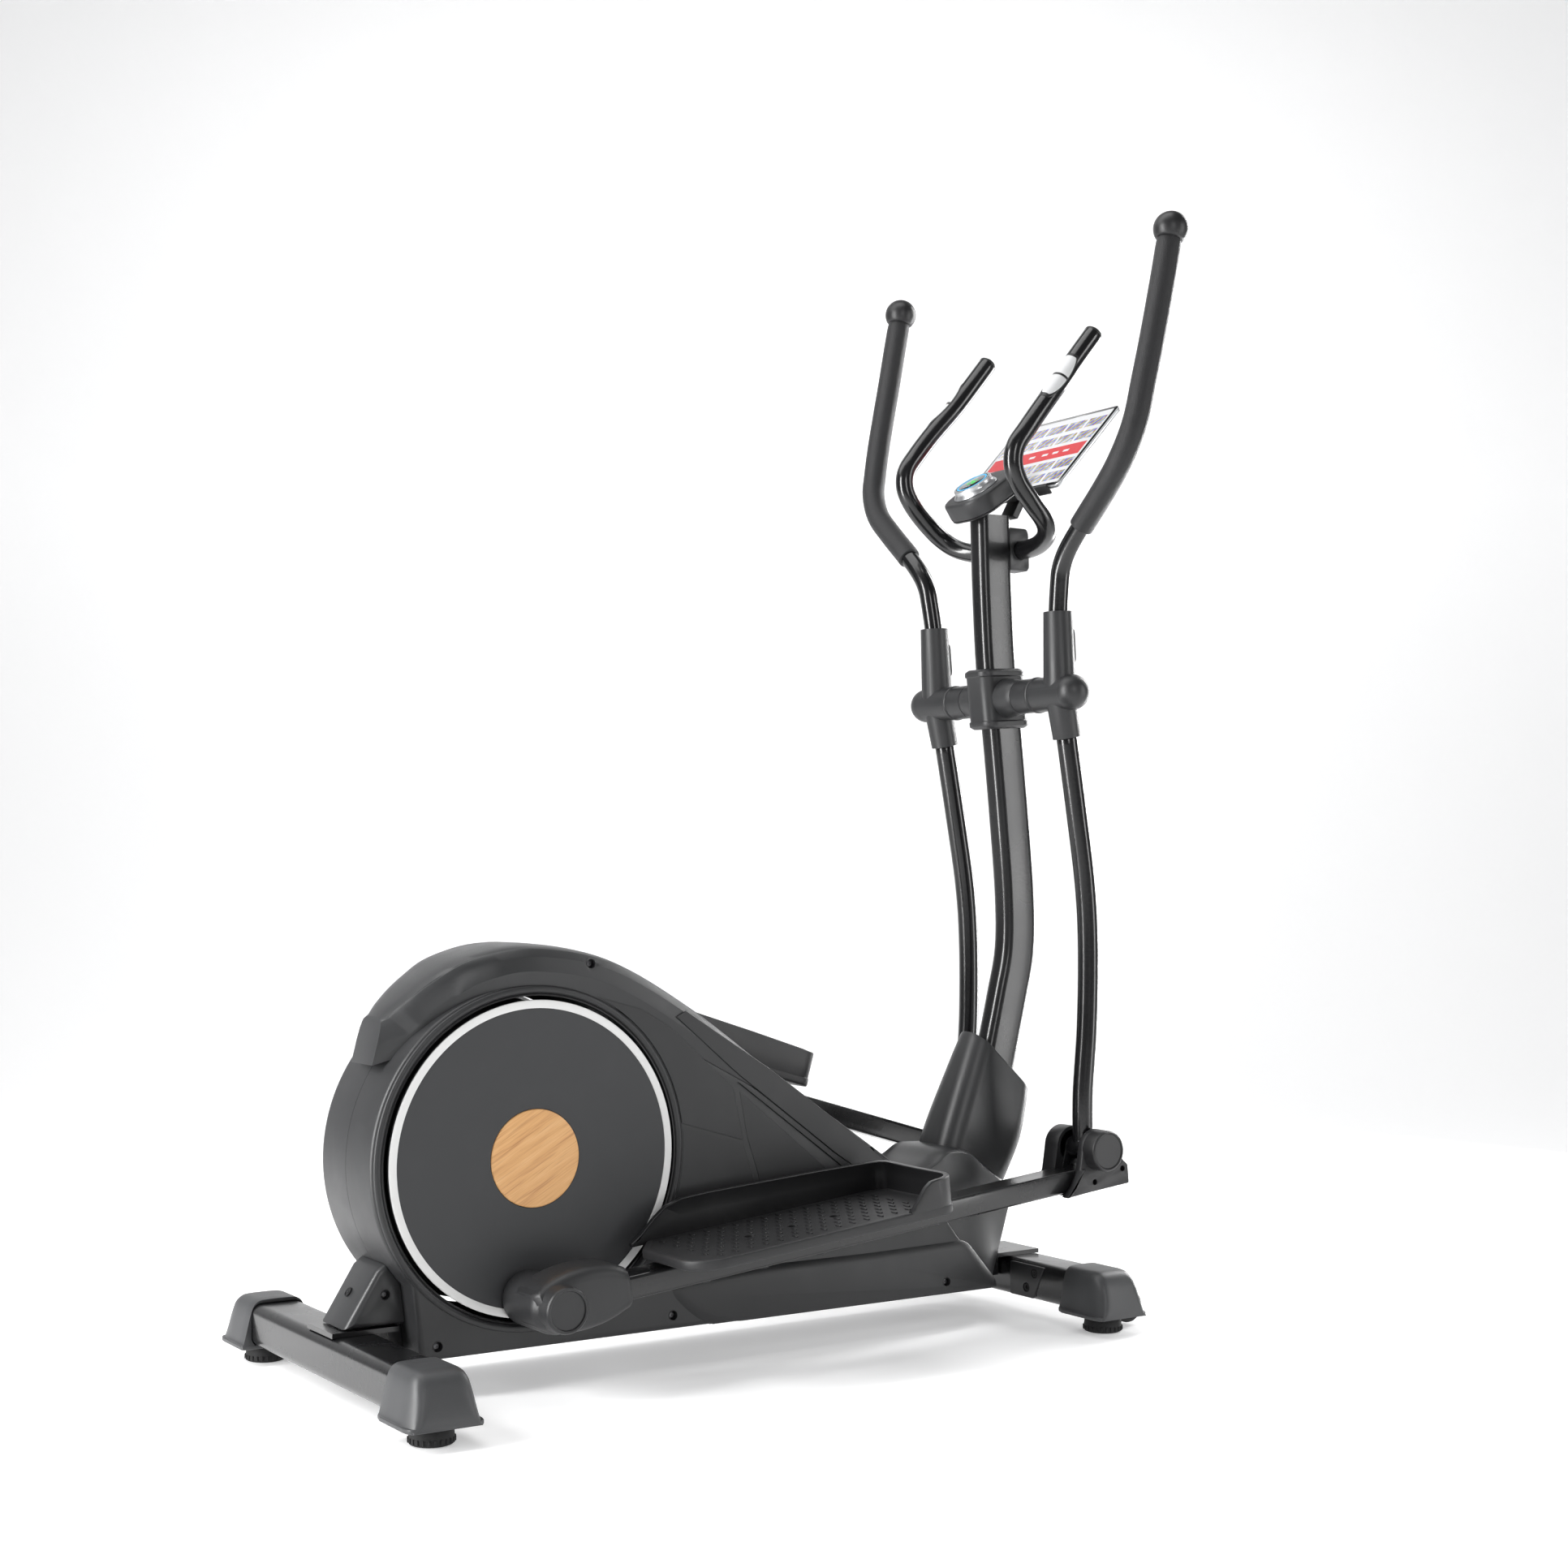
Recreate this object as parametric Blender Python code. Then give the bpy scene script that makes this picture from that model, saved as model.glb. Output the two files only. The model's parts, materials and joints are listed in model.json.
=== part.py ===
"""Front-linkage elliptical trainer, built as separate pieces around its real pivots.

Metres, +Z up, +X towards the mast, +Y to the user's left.  Everything hangs from one
empty, "machine", whose local origin is on the floor under the crank centre.  The last
step slides that empty so that the world origin is the middle of the machine's footprint.
"""
import math

import bmesh
import bpy
import numpy as np
from mathutils import Matrix, Vector

# ---------------------------------------------------------------- driving dimensions
GAP = 0.0003                 # clearance between touching pieces
RUNNING = 0.0003             # radial clearance of a shaft in its bore
SKIN = 0.003                 # wall of the plastic covers
SEAM = 0.0006                # gap between two covers that meet edge to edge

CRANK_Z = 0.2845             # crank axle above the floor
CRANK_THROW = 0.170          # crank centre to crank pin
CRANK_REST = 5.06            # degrees that the right pin stands behind the bottom
ROCKER_X, ROCKER_Z = 0.8066, 0.8973   # crossbar axle
ROCKER_LENGTH = 0.6525       # crossbar axle to the lower pivot of a swing arm
SWING_BOW = ((0.0195, 0.26054), (0.0290, 0.42912), (0.0285, 0.56705), (0.0190, 0.73563),
             (0.0050, 0.88123))   # how far a swing tube bows ahead, and at what share of its length
BAR_LENGTH = 0.8702          # crank pin to lower pivot, measured along the pedal bar
BAR_DROP = 0.0389            # lower pivot above the pedal bar's centreline
ARM_Y = 0.1445               # plane of the swing arms and the pedal bars

AXLE_RADIUS = 0.0125
DISC_RADIUS, DISC_FACE_Y, DISC_THICKNESS = 0.1976, 0.0824, 0.0058
DISC_OPENING = 0.2040        # hole in the side cover that the disc turns in
HUB_RADIUS = 0.0612
PIN_RADIUS, PIN_END_Y = 0.0125, 0.0843

PULLEY_RADIUS, PULLEY_Y, PULLEY_WIDTH = 0.130, 0.045, 0.012
FLYWHEEL_X, FLYWHEEL_Z = 0.310, 0.215
FLYWHEEL_RADIUS, FLYWHEEL_WIDTH = 0.118, 0.034
SHAFT_RADIUS, SMALL_PULLEY_RADIUS = 0.0082, 0.022
BELT_THICKNESS = 0.0022
MAGNET_GAP, MAGNET_PIVOT_ANGLE = 0.009, -54.0

BEAM_HALF_WIDTH, BEAM_BOTTOM, BEAM_TOP = 0.025, 0.053, 0.091
BEAM_REAR, BEAM_FRONT = -0.172, 0.786
PLATE_THICKNESS = 0.006

STABILIZER_BOTTOM, STABILIZER_TOP = 0.027, 0.081
REAR_X, REAR_FOOT_Y, REAR_DEPTH = -0.2206, 0.259, 0.070
FRONT_X, FRONT_FOOT_Y, FRONT_DEPTH = 0.822, 0.212, 0.066
CAP_LENGTH, CAP_OVERHANG = 0.088, 0.046     # end cap, and its tip beyond the foot
FOOT_RADIUS, FOOT_HEIGHT, STUD_RADIUS = 0.027, 0.017, 0.005
WHEEL_RADIUS, WHEEL_WIDTH, WHEEL_LIFT = 0.0235, 0.020, 0.003
WHEEL_AHEAD, WHEEL_INBOARD = 0.057, 0.017    # from the stabilizer's line, and from the foot

COVER_HALF_WIDTH = 0.078     # side covers
COVER_RADIUS = 0.2185        # side cover's round back
COVER_RIM = 0.0095           # rolled rim round the disc opening
COVER_BOTTOM = 0.048
COVER_REAR_X = -0.151
SADDLE_HALF_WIDTH = 0.0795
SADDLE_STATIONS = (-0.185, -0.150, -0.100, -0.050, 0.000)   # where the saddle narrows
SADDLE_SHARES = (0.46, 0.68, 0.88, 0.97, 1.00)
BOOT_NOSE_X = 0.757          # front of the lower boot at its foot
COVER_FRONT_TOP = (0.600, 0.2165)
COVER_FRONT_BOTTOM = (0.735, 0.048)

MAST_DEPTH, MAST_WIDTH, MAST_CORNER = 0.060, 0.036, 0.012
MAST_LINE = ((0.768, 0.2348), (0.785, 0.305), (0.805, 0.382), (0.823, 0.453), (0.839, 0.525),
             (0.8395, 0.609), (0.829, 0.730), (0.817, 0.845), (0.805, 0.948), (0.7985, 1.060),
             (0.795, 1.170))
COLLAR_DEPTH, COLLAR_HALF_WIDTH, COLLAR_HEIGHT = 0.080, 0.0275, 0.088
CROSSBAR_RADIUS, COLLAR_REACH, HUB_START = 0.025, 0.0600, 0.0605
HUB_BALL_RADIUS, HUB_BALL_Y = 0.0256, 0.170
UPPER_SLEEVE, LOWER_SLEEVE = 0.1168, 0.0642     # how far the hub's sleeves reach
SWING_RADIUS, HANDLE_RADIUS, GRIP_RADIUS, BALL_RADIUS = 0.015, 0.014, 0.0175, 0.0247

BAR_HALF_WIDTH, BAR_HALF_HEIGHT, BAR_FRONT = 0.022, 0.015, 0.049
PIVOT_PIN_RADIUS, EAR_THICKNESS = 0.008, 0.004
BOSS_RADIUS, BOSS_START_Y, BOSS_CAP_RADIUS, BOSS_END_Y = 0.034, 0.0885, 0.0285, 0.200
TRAY_REAR, TRAY_FRONT, TRAY_INNER_Y, TRAY_OUTER_Y = -0.732, -0.326, 0.104, 0.280
TRAY_RISE, TRAY_SKIRT = 0.025, 0.013            # tread above the bar, and its edge's depth
RIM_HEIGHT, TOE_HEIGHT, RIM_THICKNESS = 0.045, 0.036, 0.0045

BAR_TUBE_RADIUS, SENSOR_RADIUS = 0.014, 0.0158  # the fixed handlebar
MAST_AT_BAR, BAR_STAND_OFF = 0.7965, 0.001       # mast's middle there, and the tube's gap to it
BAR_MIDDLE_X = MAST_AT_BAR + MAST_DEPTH / 2 + BAR_STAND_OFF + BAR_TUBE_RADIUS
HANDLEBAR_LINE = ((0.8897, 0.124, 1.4310), (0.8560, 0.124, 1.3910), (0.8250, 0.1265, 1.3540),
                  (0.7870, 0.1310, 1.3120), (0.7570, 0.1325, 1.2760), (0.7380, 0.1310, 1.2500),
                  (0.7345, 0.1290, 1.2240), (0.7470, 0.1265, 1.1980), (0.7730, 0.1250, 1.1710),
                  (0.8000, 0.1200, 1.1480), (0.8180, 0.1030, 1.1330), (0.8330, 0.0700, 1.1240),
                  (BAR_MIDDLE_X, 0.0350, 1.1210), (BAR_MIDDLE_X, 0.0000, 1.1210))
CLAMP_HALF_WIDTH, CLAMP_BOTTOM, CLAMP_TOP = 0.016, 1.090, 1.154
CLAMP_FRONT = BAR_MIDDLE_X + BAR_TUBE_RADIUS + 0.0035

POD_TILT, TABLET_TILT = 35.0, 47.0
DIAL_X, DIAL_Z = 0.7685, 1.2074                 # dial's foot on the pod's top face
POD_THICKNESS, POD_HALF_WIDTH, POD_BACK, POD_AHEAD = 0.030, 0.048, 0.048, 0.062
DIAL_RADIUS, DIAL_WALL, DIAL_HEIGHT = 0.0300, 0.0045, 0.013
TABLET_X, TABLET_Z = 0.826, 1.205               # middle of the tablet's lower edge
TABLET_WIDTH, TABLET_LENGTH, TABLET_THICKNESS = 0.240, 0.178, 0.0075

SIDES = {"right": -1, "left": 1}
ROUND = 16                   # facets round a rod
TUBE_SECTION = 10            # facets round a bent tube

FINISHES = {                 # colour, roughness, metallic
    "charcoal_plastic": ((0.055, 0.056, 0.058), 0.48, 0.0),
    "grey_plastic": ((0.085, 0.086, 0.089), 0.42, 0.0),
    "black_plastic": ((0.016, 0.016, 0.017), 0.45, 0.0),
    "black_paint": ((0.012, 0.012, 0.013), 0.22, 0.25),
    "foam": ((0.014, 0.014, 0.015), 0.70, 0.0),
    "rubber": ((0.012, 0.012, 0.012), 0.80, 0.0),
    "bamboo": ((0.68, 0.31, 0.11), 0.50, 0.0),
    "bare_steel": ((0.55, 0.55, 0.56), 0.28, 1.0),
    "cast_iron": ((0.16, 0.16, 0.17), 0.55, 0.8),
    "aluminium": ((0.78, 0.79, 0.80), 0.30, 1.0),
    "glass_black": ((0.010, 0.010, 0.012), 0.08, 0.0),
}


# ---------------------------------------------------------------- linkage at rest
def crank_pin(side):
    """Crank pin of one side, in the machine's X and Z."""
    angle = math.radians(CRANK_REST)
    return (SIDES[side] * CRANK_THROW * math.sin(angle),
            CRANK_Z + SIDES[side] * CRANK_THROW * math.cos(angle))


def lower_pivot(side):
    """Where the pedal bar meets the swing arm: the two circles' forward crossing."""
    pin_x, pin_z = crank_pin(side)
    reach = math.hypot(BAR_LENGTH, BAR_DROP)
    across_x, across_z = ROCKER_X - pin_x, ROCKER_Z - pin_z
    distance = math.hypot(across_x, across_z)
    along = (reach ** 2 - ROCKER_LENGTH ** 2 + distance ** 2) / (2 * distance)
    off = math.sqrt(reach ** 2 - along ** 2)
    unit_x, unit_z = across_x / distance, across_z / distance
    return (pin_x + along * unit_x + off * unit_z, pin_z + along * unit_z - off * unit_x)


def arm_tilt(side):
    """Rotation about +Y that swings a straight-down arm to where it stands at rest."""
    pivot_x, pivot_z = lower_pivot(side)
    return -math.atan2(pivot_x - ROCKER_X, ROCKER_Z - pivot_z)


def bar_tilt(side):
    """Rotation about +Y of a pedal bar, level when the bar's top is level."""
    pin_x, pin_z = crank_pin(side)
    pivot_x, pivot_z = lower_pivot(side)
    return -(math.atan2(pivot_z - pin_z, pivot_x - pin_x) - math.atan2(BAR_DROP, BAR_LENGTH))


# ---------------------------------------------------------------- outlines and curves
def arc(centre, radius, start, end, count):
    """Points on a circle between two angles in degrees."""
    angles = np.radians(np.linspace(start, end, count))
    return [(centre[0] + radius * math.cos(a), centre[1] + radius * math.sin(a)) for a in angles]


def circle(radius, count=ROUND):
    return [(radius * math.cos(math.tau * i / count), radius * math.sin(math.tau * i / count))
            for i in range(count)]


def rounded_rectangle(width, height, corner, steps=3):
    """A rectangle about the origin, anticlockwise."""
    x, y = width / 2 - corner, height / 2 - corner
    points = []
    for centre, start in (((x, y), 0), ((-x, y), 90), ((-x, -y), 180), ((x, -y), 270)):
        points += arc(centre, corner, start, start + 90, steps + 1)
    return points


def inset(outline, distance):
    """Outline of the same count, moved inwards by a distance (outwards if negative)."""
    points = [Vector(p) for p in outline]
    area = sum(a.x * b.y - b.x * a.y for a, b in zip(points, points[1:] + points[:1]))
    turn = 1.0 if area > 0 else -1.0
    moved = []
    for i, point in enumerate(points):
        before = (point - points[i - 1]).normalized()
        after = (points[(i + 1) % len(points)] - point).normalized()
        bisector = Vector((-(before.y + after.y), before.x + after.x)) * turn
        bisector.normalize()
        spread = max(0.35, bisector.dot(Vector((-before.y, before.x)) * turn))
        moved.append(tuple(point + bisector * distance / spread))
    return moved


def smooth(points, per_span):
    """A Catmull-Rom curve through the points."""
    points = [Vector(p) for p in points]
    ends = [2 * points[0] - points[1]] + points + [2 * points[-1] - points[-2]]
    curve = []
    for i in range(1, len(ends) - 2):
        a, b, c, d = ends[i - 1:i + 3]
        for step in range(per_span):
            t = step / per_span
            curve.append(0.5 * (2 * b + (c - a) * t + (2 * a - 5 * b + 4 * c - d) * t ** 2
                                + (3 * b - a - 3 * c + d) * t ** 3))
    return curve + [points[-1]]


def cut_line(points, start, end):
    """The stretch of a curve between two distances along it."""
    travelled, stretch = 0.0, []
    for a, b in zip(points, points[1:]):
        length = (b - a).length
        for mark in (start, end):
            if travelled <= mark < travelled + length:
                stretch.append(a.lerp(b, (mark - travelled) / length))
        if start < travelled + length < end:
            stretch.append(b)
        travelled += length
    return stretch


def line_length(points):
    return sum((b - a).length for a, b in zip(points, points[1:]))


def belt_line(first, first_radius, second, second_radius, count=18):
    """Closed loop round two pulleys, in X and Z."""
    across = Vector(second) - Vector(first)
    heading = math.degrees(math.atan2(across.y, across.x))
    lean = math.degrees(math.acos((first_radius - second_radius) / across.length))
    return (arc(first, first_radius, heading + lean, heading - lean + 360, count)
            + arc(second, second_radius, heading - lean, heading + lean, count // 2))


# ---------------------------------------------------------------- solids
def skin_rings(rings, closed=False):
    """Join rings of equal count into one closed body."""
    mesh = bmesh.new()
    loops = [[mesh.verts.new(p) for p in ring] for ring in rings]
    pairs = list(zip(loops, loops[1:] + loops[:1] if closed else loops[1:]))
    for low, high in pairs:
        for i in range(len(low)):
            j = (i + 1) % len(low)
            mesh.faces.new((low[i], low[j], high[j], high[i]))
    if not closed:
        mesh.faces.new(list(reversed(loops[0])))
        mesh.faces.new(loops[-1])
    bmesh.ops.recalc_face_normals(mesh, faces=mesh.faces)
    return mesh


def sweep(points, section, across=(0, 1, 0), closed=False, scales=None):
    """A section carried along a curve, its first axis kept near a given direction."""
    rings = []
    count = len(points)
    for i, point in enumerate(points):
        if closed:
            ahead = points[(i + 1) % count] - points[i - 1]
        else:
            ahead = points[min(i + 1, count - 1)] - points[max(i - 1, 0)]
        ahead.normalize()
        side = Vector(across) - ahead * ahead.dot(Vector(across))
        side.normalize()
        up = ahead.cross(side)
        scale = scales[i] if scales else 1.0
        rings.append([point + (side * u + up * v) * scale for u, v in section])
    return skin_rings(rings, closed)


def lathe(profile, count=36):
    """Turn a closed profile of (radius, distance along Y) about the Y axis."""
    mesh = bmesh.new()
    rings = []
    for radius, along in profile:
        if radius < 1e-6:
            rings.append([mesh.verts.new((0, along, 0))])
        else:
            rings.append([mesh.verts.new((radius * math.cos(math.tau * i / count), along,
                                          radius * math.sin(math.tau * i / count)))
                          for i in range(count)])
    for low, high in zip(rings, rings[1:] + rings[:1]):
        if len(low) == 1 and len(high) == 1:
            continue
        for i in range(count):
            j = (i + 1) % count
            corners = [low[i % len(low)], low[j % len(low)], high[j % len(high)], high[i % len(high)]]
            mesh.faces.new(list(dict.fromkeys(corners)))
    bmesh.ops.recalc_face_normals(mesh, faces=mesh.faces)
    return mesh


def prism(outline, levels, side=1):
    """An X-Z outline drawn out along Y; each level is (Y, inset)."""
    rings = [[Vector((x, side * y, z)) for x, z in inset(outline, depth)] for y, depth in levels]
    return skin_rings(rings)


def slab(outline, levels):
    """An X-Y outline drawn up along Z; each level is (Z, inset)."""
    return skin_rings([[Vector((x, y, z)) for x, y in inset(outline, depth)] for z, depth in levels])


def box(x, y, z):
    """A block from three (low, high) pairs."""
    return skin_rings([[Vector((x[0], y[0], h)), Vector((x[1], y[0], h)),
                        Vector((x[1], y[1], h)), Vector((x[0], y[1], h))] for h in z])


def rod(start, end, radius, count=ROUND, end_radius=None):
    """A round bar between two points."""
    start, end = Vector(start), Vector(end)
    ahead = (end - start).normalized()
    across = (1, 0, 0) if abs(ahead.x) < 0.7 else (0, 1, 0)
    scale = (end_radius or radius) / radius
    return sweep([start, end], circle(radius, count), across, scales=(1.0, scale))


# ---------------------------------------------------------------- placing pieces
def empty(name, location=(0, 0, 0), tilt=0.0, parent=None):
    """An empty on a joint's axis, turned about +Y."""
    marker = bpy.data.objects.new(name, None)
    bpy.context.collection.objects.link(marker)
    marker.location = location
    marker.rotation_euler = (0, tilt, 0)
    marker.parent = parent
    return marker


def add_object(name, mesh, parent):
    data = bpy.data.meshes.new(name)
    mesh.to_mesh(data)
    mesh.free()
    item = bpy.data.objects.new(name, data)
    bpy.context.collection.objects.link(item)
    item.parent = parent
    return item


def piece(name, mesh, finish, parent, facet_angle=35):
    """A named piece with its own material."""
    item = add_object(name, mesh, parent)
    colour, roughness, metallic = FINISHES[finish]
    material = bpy.data.materials.new(name + "_" + finish)
    material.use_nodes = True
    shader = material.node_tree.nodes["Principled BSDF"]
    shader.inputs["Base Color"].default_value = (*colour, 1.0)
    shader.inputs["Roughness"].default_value = roughness
    shader.inputs["Metallic"].default_value = metallic
    item.data.materials.append(material)
    item.data.shade_smooth()
    item.data.set_sharp_from_angle(angle=math.radians(facet_angle))
    return item


def combine(target, mesh, operation):
    """Join a body to a piece, or cut one out of it."""
    number = len(target.modifiers) + 1
    tool = add_object(f"{target.name}_tool_{number}", mesh, target.parent)
    tool.hide_render = True
    tool.display_type = "WIRE"
    modifier = target.modifiers.new(f"{operation.lower()}_{number}", "BOOLEAN")
    modifier.operation = operation
    modifier.solver = "EXACT"
    modifier.object = tool
    return target


def fuse(target, *meshes):
    for mesh in meshes:
        combine(target, mesh, "UNION")
    return target


def cut(target, *meshes):
    for mesh in meshes:
        combine(target, mesh, "DIFFERENCE")
    return target


# ---------------------------------------------------------------- base frame
def beam_clearance(margin):
    """Space round the base beam and its two end plates, for the covers to leave free."""
    return [box((BEAM_REAR - 0.2, BEAM_FRONT + 0.2), (-BEAM_HALF_WIDTH - margin, BEAM_HALF_WIDTH + margin),
                (BEAM_BOTTOM - margin, BEAM_TOP + margin)),
            box((FRONT_X - FRONT_DEPTH, FRONT_X + 0.1), (-0.040 - margin, 0.040 + margin),
                (STABILIZER_TOP - margin, STABILIZER_TOP + PLATE_THICKNESS + 2 * margin))]


def magnet_pivot():
    """Pivot of the magnet bracket, in X and Z."""
    return arc((FLYWHEEL_X, FLYWHEEL_Z), FLYWHEEL_RADIUS + 0.025, MAGNET_PIVOT_ANGLE, 0, 2)[0]


def build_main_frame(parent):
    """Beam, end plates, crank post with its bearing tube, flywheel fork and mast stub."""
    frame = piece("main_frame", box((BEAM_REAR, BEAM_FRONT), (-BEAM_HALF_WIDTH, BEAM_HALF_WIDTH),
                                    (BEAM_BOTTOM, BEAM_TOP)), "black_paint", parent)
    plate = (STABILIZER_TOP + GAP, STABILIZER_TOP + GAP + PLATE_THICKNESS)
    mast_x, mast_z = MAST_LINE[0]
    fork = [box((FLYWHEEL_X - 0.02, FLYWHEEL_X + 0.02), y, (BEAM_TOP - 0.01, FLYWHEEL_Z + 0.022))
            for y in ((0.0195, 0.0245), (-0.0245, -0.0195))]
    pivot_x, pivot_z = magnet_pivot()
    ears = [box((pivot_x - 0.009, pivot_x + 0.009), y, (BEAM_TOP - 0.01, pivot_z + 0.009))
            for y in ((0.0165, 0.0205), (-0.0205, -0.0165))]
    fuse(frame,
         box((REAR_X - 0.030, BEAM_REAR + 0.008), (-0.040, 0.040), plate),
         box((BEAM_FRONT - 0.02, FRONT_X + 0.028), (-0.040, 0.040), plate),
         box((-0.020, 0.020), (-0.020, 0.020), (BEAM_TOP - 0.01, CRANK_Z)),
         skin_rings([[Vector((x + dx, dy, z)) for dx, dy in ((-0.022, -0.014), (0.022, -0.014),
                                                             (0.022, 0.014), (-0.022, 0.014))]
                     for x, z in ((mast_x - 0.038, BEAM_TOP - 0.01), (mast_x - 0.006, mast_z - 0.003))]),
         box((mast_x - 0.034, mast_x + 0.031), (-0.028, 0.028),
             (mast_z - GAP - PLATE_THICKNESS, mast_z - GAP)),
         *fork, *ears)
    fuse(frame, rod((pivot_x, -0.018, pivot_z), (pivot_x, 0.018, pivot_z), 0.003, 12),
         rod((0, -0.034, CRANK_Z), (0, 0.034, CRANK_Z), 0.028))
    return cut(frame, rod((0, -0.05, CRANK_Z), (0, 0.05, CRANK_Z), AXLE_RADIUS + RUNNING),
               rod((FLYWHEEL_X, -0.03, FLYWHEEL_Z), (FLYWHEEL_X, 0.03, FLYWHEEL_Z), SHAFT_RADIUS + RUNNING))


def build_stabilizer(name, centre_x, depth, foot_y, parent):
    """Cross tube; its ends stop short of the levelling studs in the end caps."""
    height = STABILIZER_TOP - STABILIZER_BOTTOM
    middle = (STABILIZER_BOTTOM + STABILIZER_TOP) / 2
    half = foot_y - STUD_RADIUS - 0.009
    section = rounded_rectangle(height, depth, 0.010, 2)
    return piece(name, sweep([Vector((centre_x, y, middle)) for y in (-half, half)], section, (0, 0, 1)),
                 "black_paint", parent)


def build_end_cap(end, side, centre_x, depth, foot_y, parent):
    """Flared plastic cap over a stabilizer's end, with a socket and a threaded stud hole."""
    sign = SIDES[side]
    profile = [(-0.0475, 0.0235), (0.0475, 0.0235), (0.0475, 0.0290), (0.0425, 0.0330), (0.0380, 0.0700),
               (0.0330, 0.0820), (0.0250, 0.0868), (-0.0250, 0.0868), (-0.0330, 0.0820),
               (-0.0380, 0.0700), (-0.0425, 0.0330), (-0.0475, 0.0290)]
    outline = [(centre_x + x * depth / REAR_DEPTH, z) for x, z in profile]
    tip = foot_y + CAP_OVERHANG
    levels = [(tip - CAP_LENGTH, 0.0), (tip - 0.012, 0.0), (tip - 0.004, 0.003), (tip, 0.009)]
    cap = piece(f"{end}_end_cap_{side}", prism(outline, levels, sign), "charcoal_plastic", parent)
    tube_end = foot_y - STUD_RADIUS - 0.009 + GAP
    socket = rounded_rectangle(STABILIZER_TOP - STABILIZER_BOTTOM + 2 * GAP, depth + 2 * GAP, 0.010, 2)
    middle = (STABILIZER_BOTTOM + STABILIZER_TOP) / 2
    if end == "front":
        wheel_y, wheel_x = foot_y - WHEEL_INBOARD, FRONT_X + WHEEL_AHEAD
        fuse(cap, box((centre_x + 0.02, wheel_x + 0.010),
                      sorted((sign * (wheel_y - WHEEL_WIDTH / 2 - 0.006), sign * (wheel_y + WHEEL_WIDTH / 2 + 0.006))),
                      (0.0245, 0.050)))
        cut(cap, rod((wheel_x, sign * (wheel_y - WHEEL_WIDTH / 2 - 0.001), WHEEL_RADIUS + WHEEL_LIFT),
                     (wheel_x, sign * (wheel_y + WHEEL_WIDTH / 2 + 0.001), WHEEL_RADIUS + WHEEL_LIFT),
                     WHEEL_RADIUS + 0.003, 14))
        fuse(cap, rod((wheel_x, sign * (wheel_y - WHEEL_WIDTH / 2 - 0.003), WHEEL_RADIUS + WHEEL_LIFT),
                      (wheel_x, sign * (wheel_y + WHEEL_WIDTH / 2 + 0.003), WHEEL_RADIUS + WHEEL_LIFT), 0.004, 12))
    return cut(cap,
               sweep([Vector((centre_x, sign * y, middle)) for y in (tip - CAP_LENGTH - 0.01, tube_end)],
                     socket, (0, 0, 1)),
               rod((centre_x, sign * foot_y, 0.01), (centre_x, sign * foot_y, 0.055),
                   (STUD_RADIUS + RUNNING) / math.cos(math.pi / ROUND)))


def build_foot(end, side, centre_x, foot_y, parent):
    """Rubber levelling foot on its threaded stud."""
    pivot = empty(f"{end}_foot_{side}_axis", (centre_x, SIDES[side] * foot_y, 0), parent=parent)
    pad = sweep([Vector((0, 0, z)) for z in (0, 0.004, FOOT_HEIGHT)], circle(FOOT_RADIUS, 14),
                scales=(0.94, 1.0, 0.72))
    foot = piece(f"{end}_foot_{side}", pad, "rubber", pivot)
    return fuse(foot, rod((0, 0, FOOT_HEIGHT - 0.004), (0, 0, 0.050), STUD_RADIUS))


def build_wheel(side, parent):
    pivot = empty(f"wheel_{side}_axis", (FRONT_X + WHEEL_AHEAD, SIDES[side] * (FRONT_FOOT_Y - WHEEL_INBOARD),
                                         WHEEL_RADIUS + WHEEL_LIFT), parent=parent)
    half = WHEEL_WIDTH / 2
    profile = [(0.004 + RUNNING, -half), (WHEEL_RADIUS - 0.003, -half), (WHEEL_RADIUS, -half + 0.003),
               (WHEEL_RADIUS, half - 0.003), (WHEEL_RADIUS - 0.003, half), (0.004 + RUNNING, half)]
    return piece(f"transport_wheel_{side}", lathe(profile, 14), "rubber", pivot)


# ---------------------------------------------------------------- covers
def side_cover_outline():
    """Round back about the crank, straight falling top, and the joint with the mast boot."""
    centre = (0, CRANK_Z)
    front_x, front_z = COVER_FRONT_TOP
    span = math.hypot(front_x, front_z - CRANK_Z)
    tangent = math.degrees(math.atan2(front_z - CRANK_Z, front_x) + math.acos(COVER_RADIUS / span))
    return ([COVER_FRONT_BOTTOM, COVER_FRONT_TOP]
            + arc(centre, COVER_RADIUS, tangent, 222, 18)
            + [(COVER_REAR_X, COVER_BOTTOM)])


def build_side_cover(side, parent):
    """Half shell of the flywheel housing, with the round opening that the disc fills."""
    sign = SIDES[side]
    outline = side_cover_outline()
    cover = piece(f"{side}_side_cover",
                  prism(outline, [(SEAM / 2, 0), (COVER_HALF_WIDTH - 0.006, 0), (COVER_HALF_WIDTH - 0.0012, 0.0012),
                                  (COVER_HALF_WIDTH, 0.004)], sign), "charcoal_plastic", parent)
    cut(cover, prism(outline, [(-0.01, SKIN), (COVER_HALF_WIDTH - SKIN, SKIN)], sign))
    cut(cover, rod((0, sign * 0.06, CRANK_Z), (0, sign * 0.10, CRANK_Z), DISC_OPENING + 0.0045, 28))
    rim = [(DISC_OPENING, 0.0742), (DISC_OPENING + COVER_RIM, 0.0742), (DISC_OPENING + COVER_RIM, 0.0795),
           (DISC_OPENING + 0.0070, 0.0818), (DISC_OPENING + 0.0030, 0.0818), (DISC_OPENING, 0.0800)]
    ring = lathe([(radius, sign * y) for radius, y in rim], 28)
    bmesh.ops.translate(ring, verts=ring.verts, vec=(0, 0, CRANK_Z))
    fuse(cover, ring)
    return cut(cover, *beam_clearance(0.001))


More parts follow.
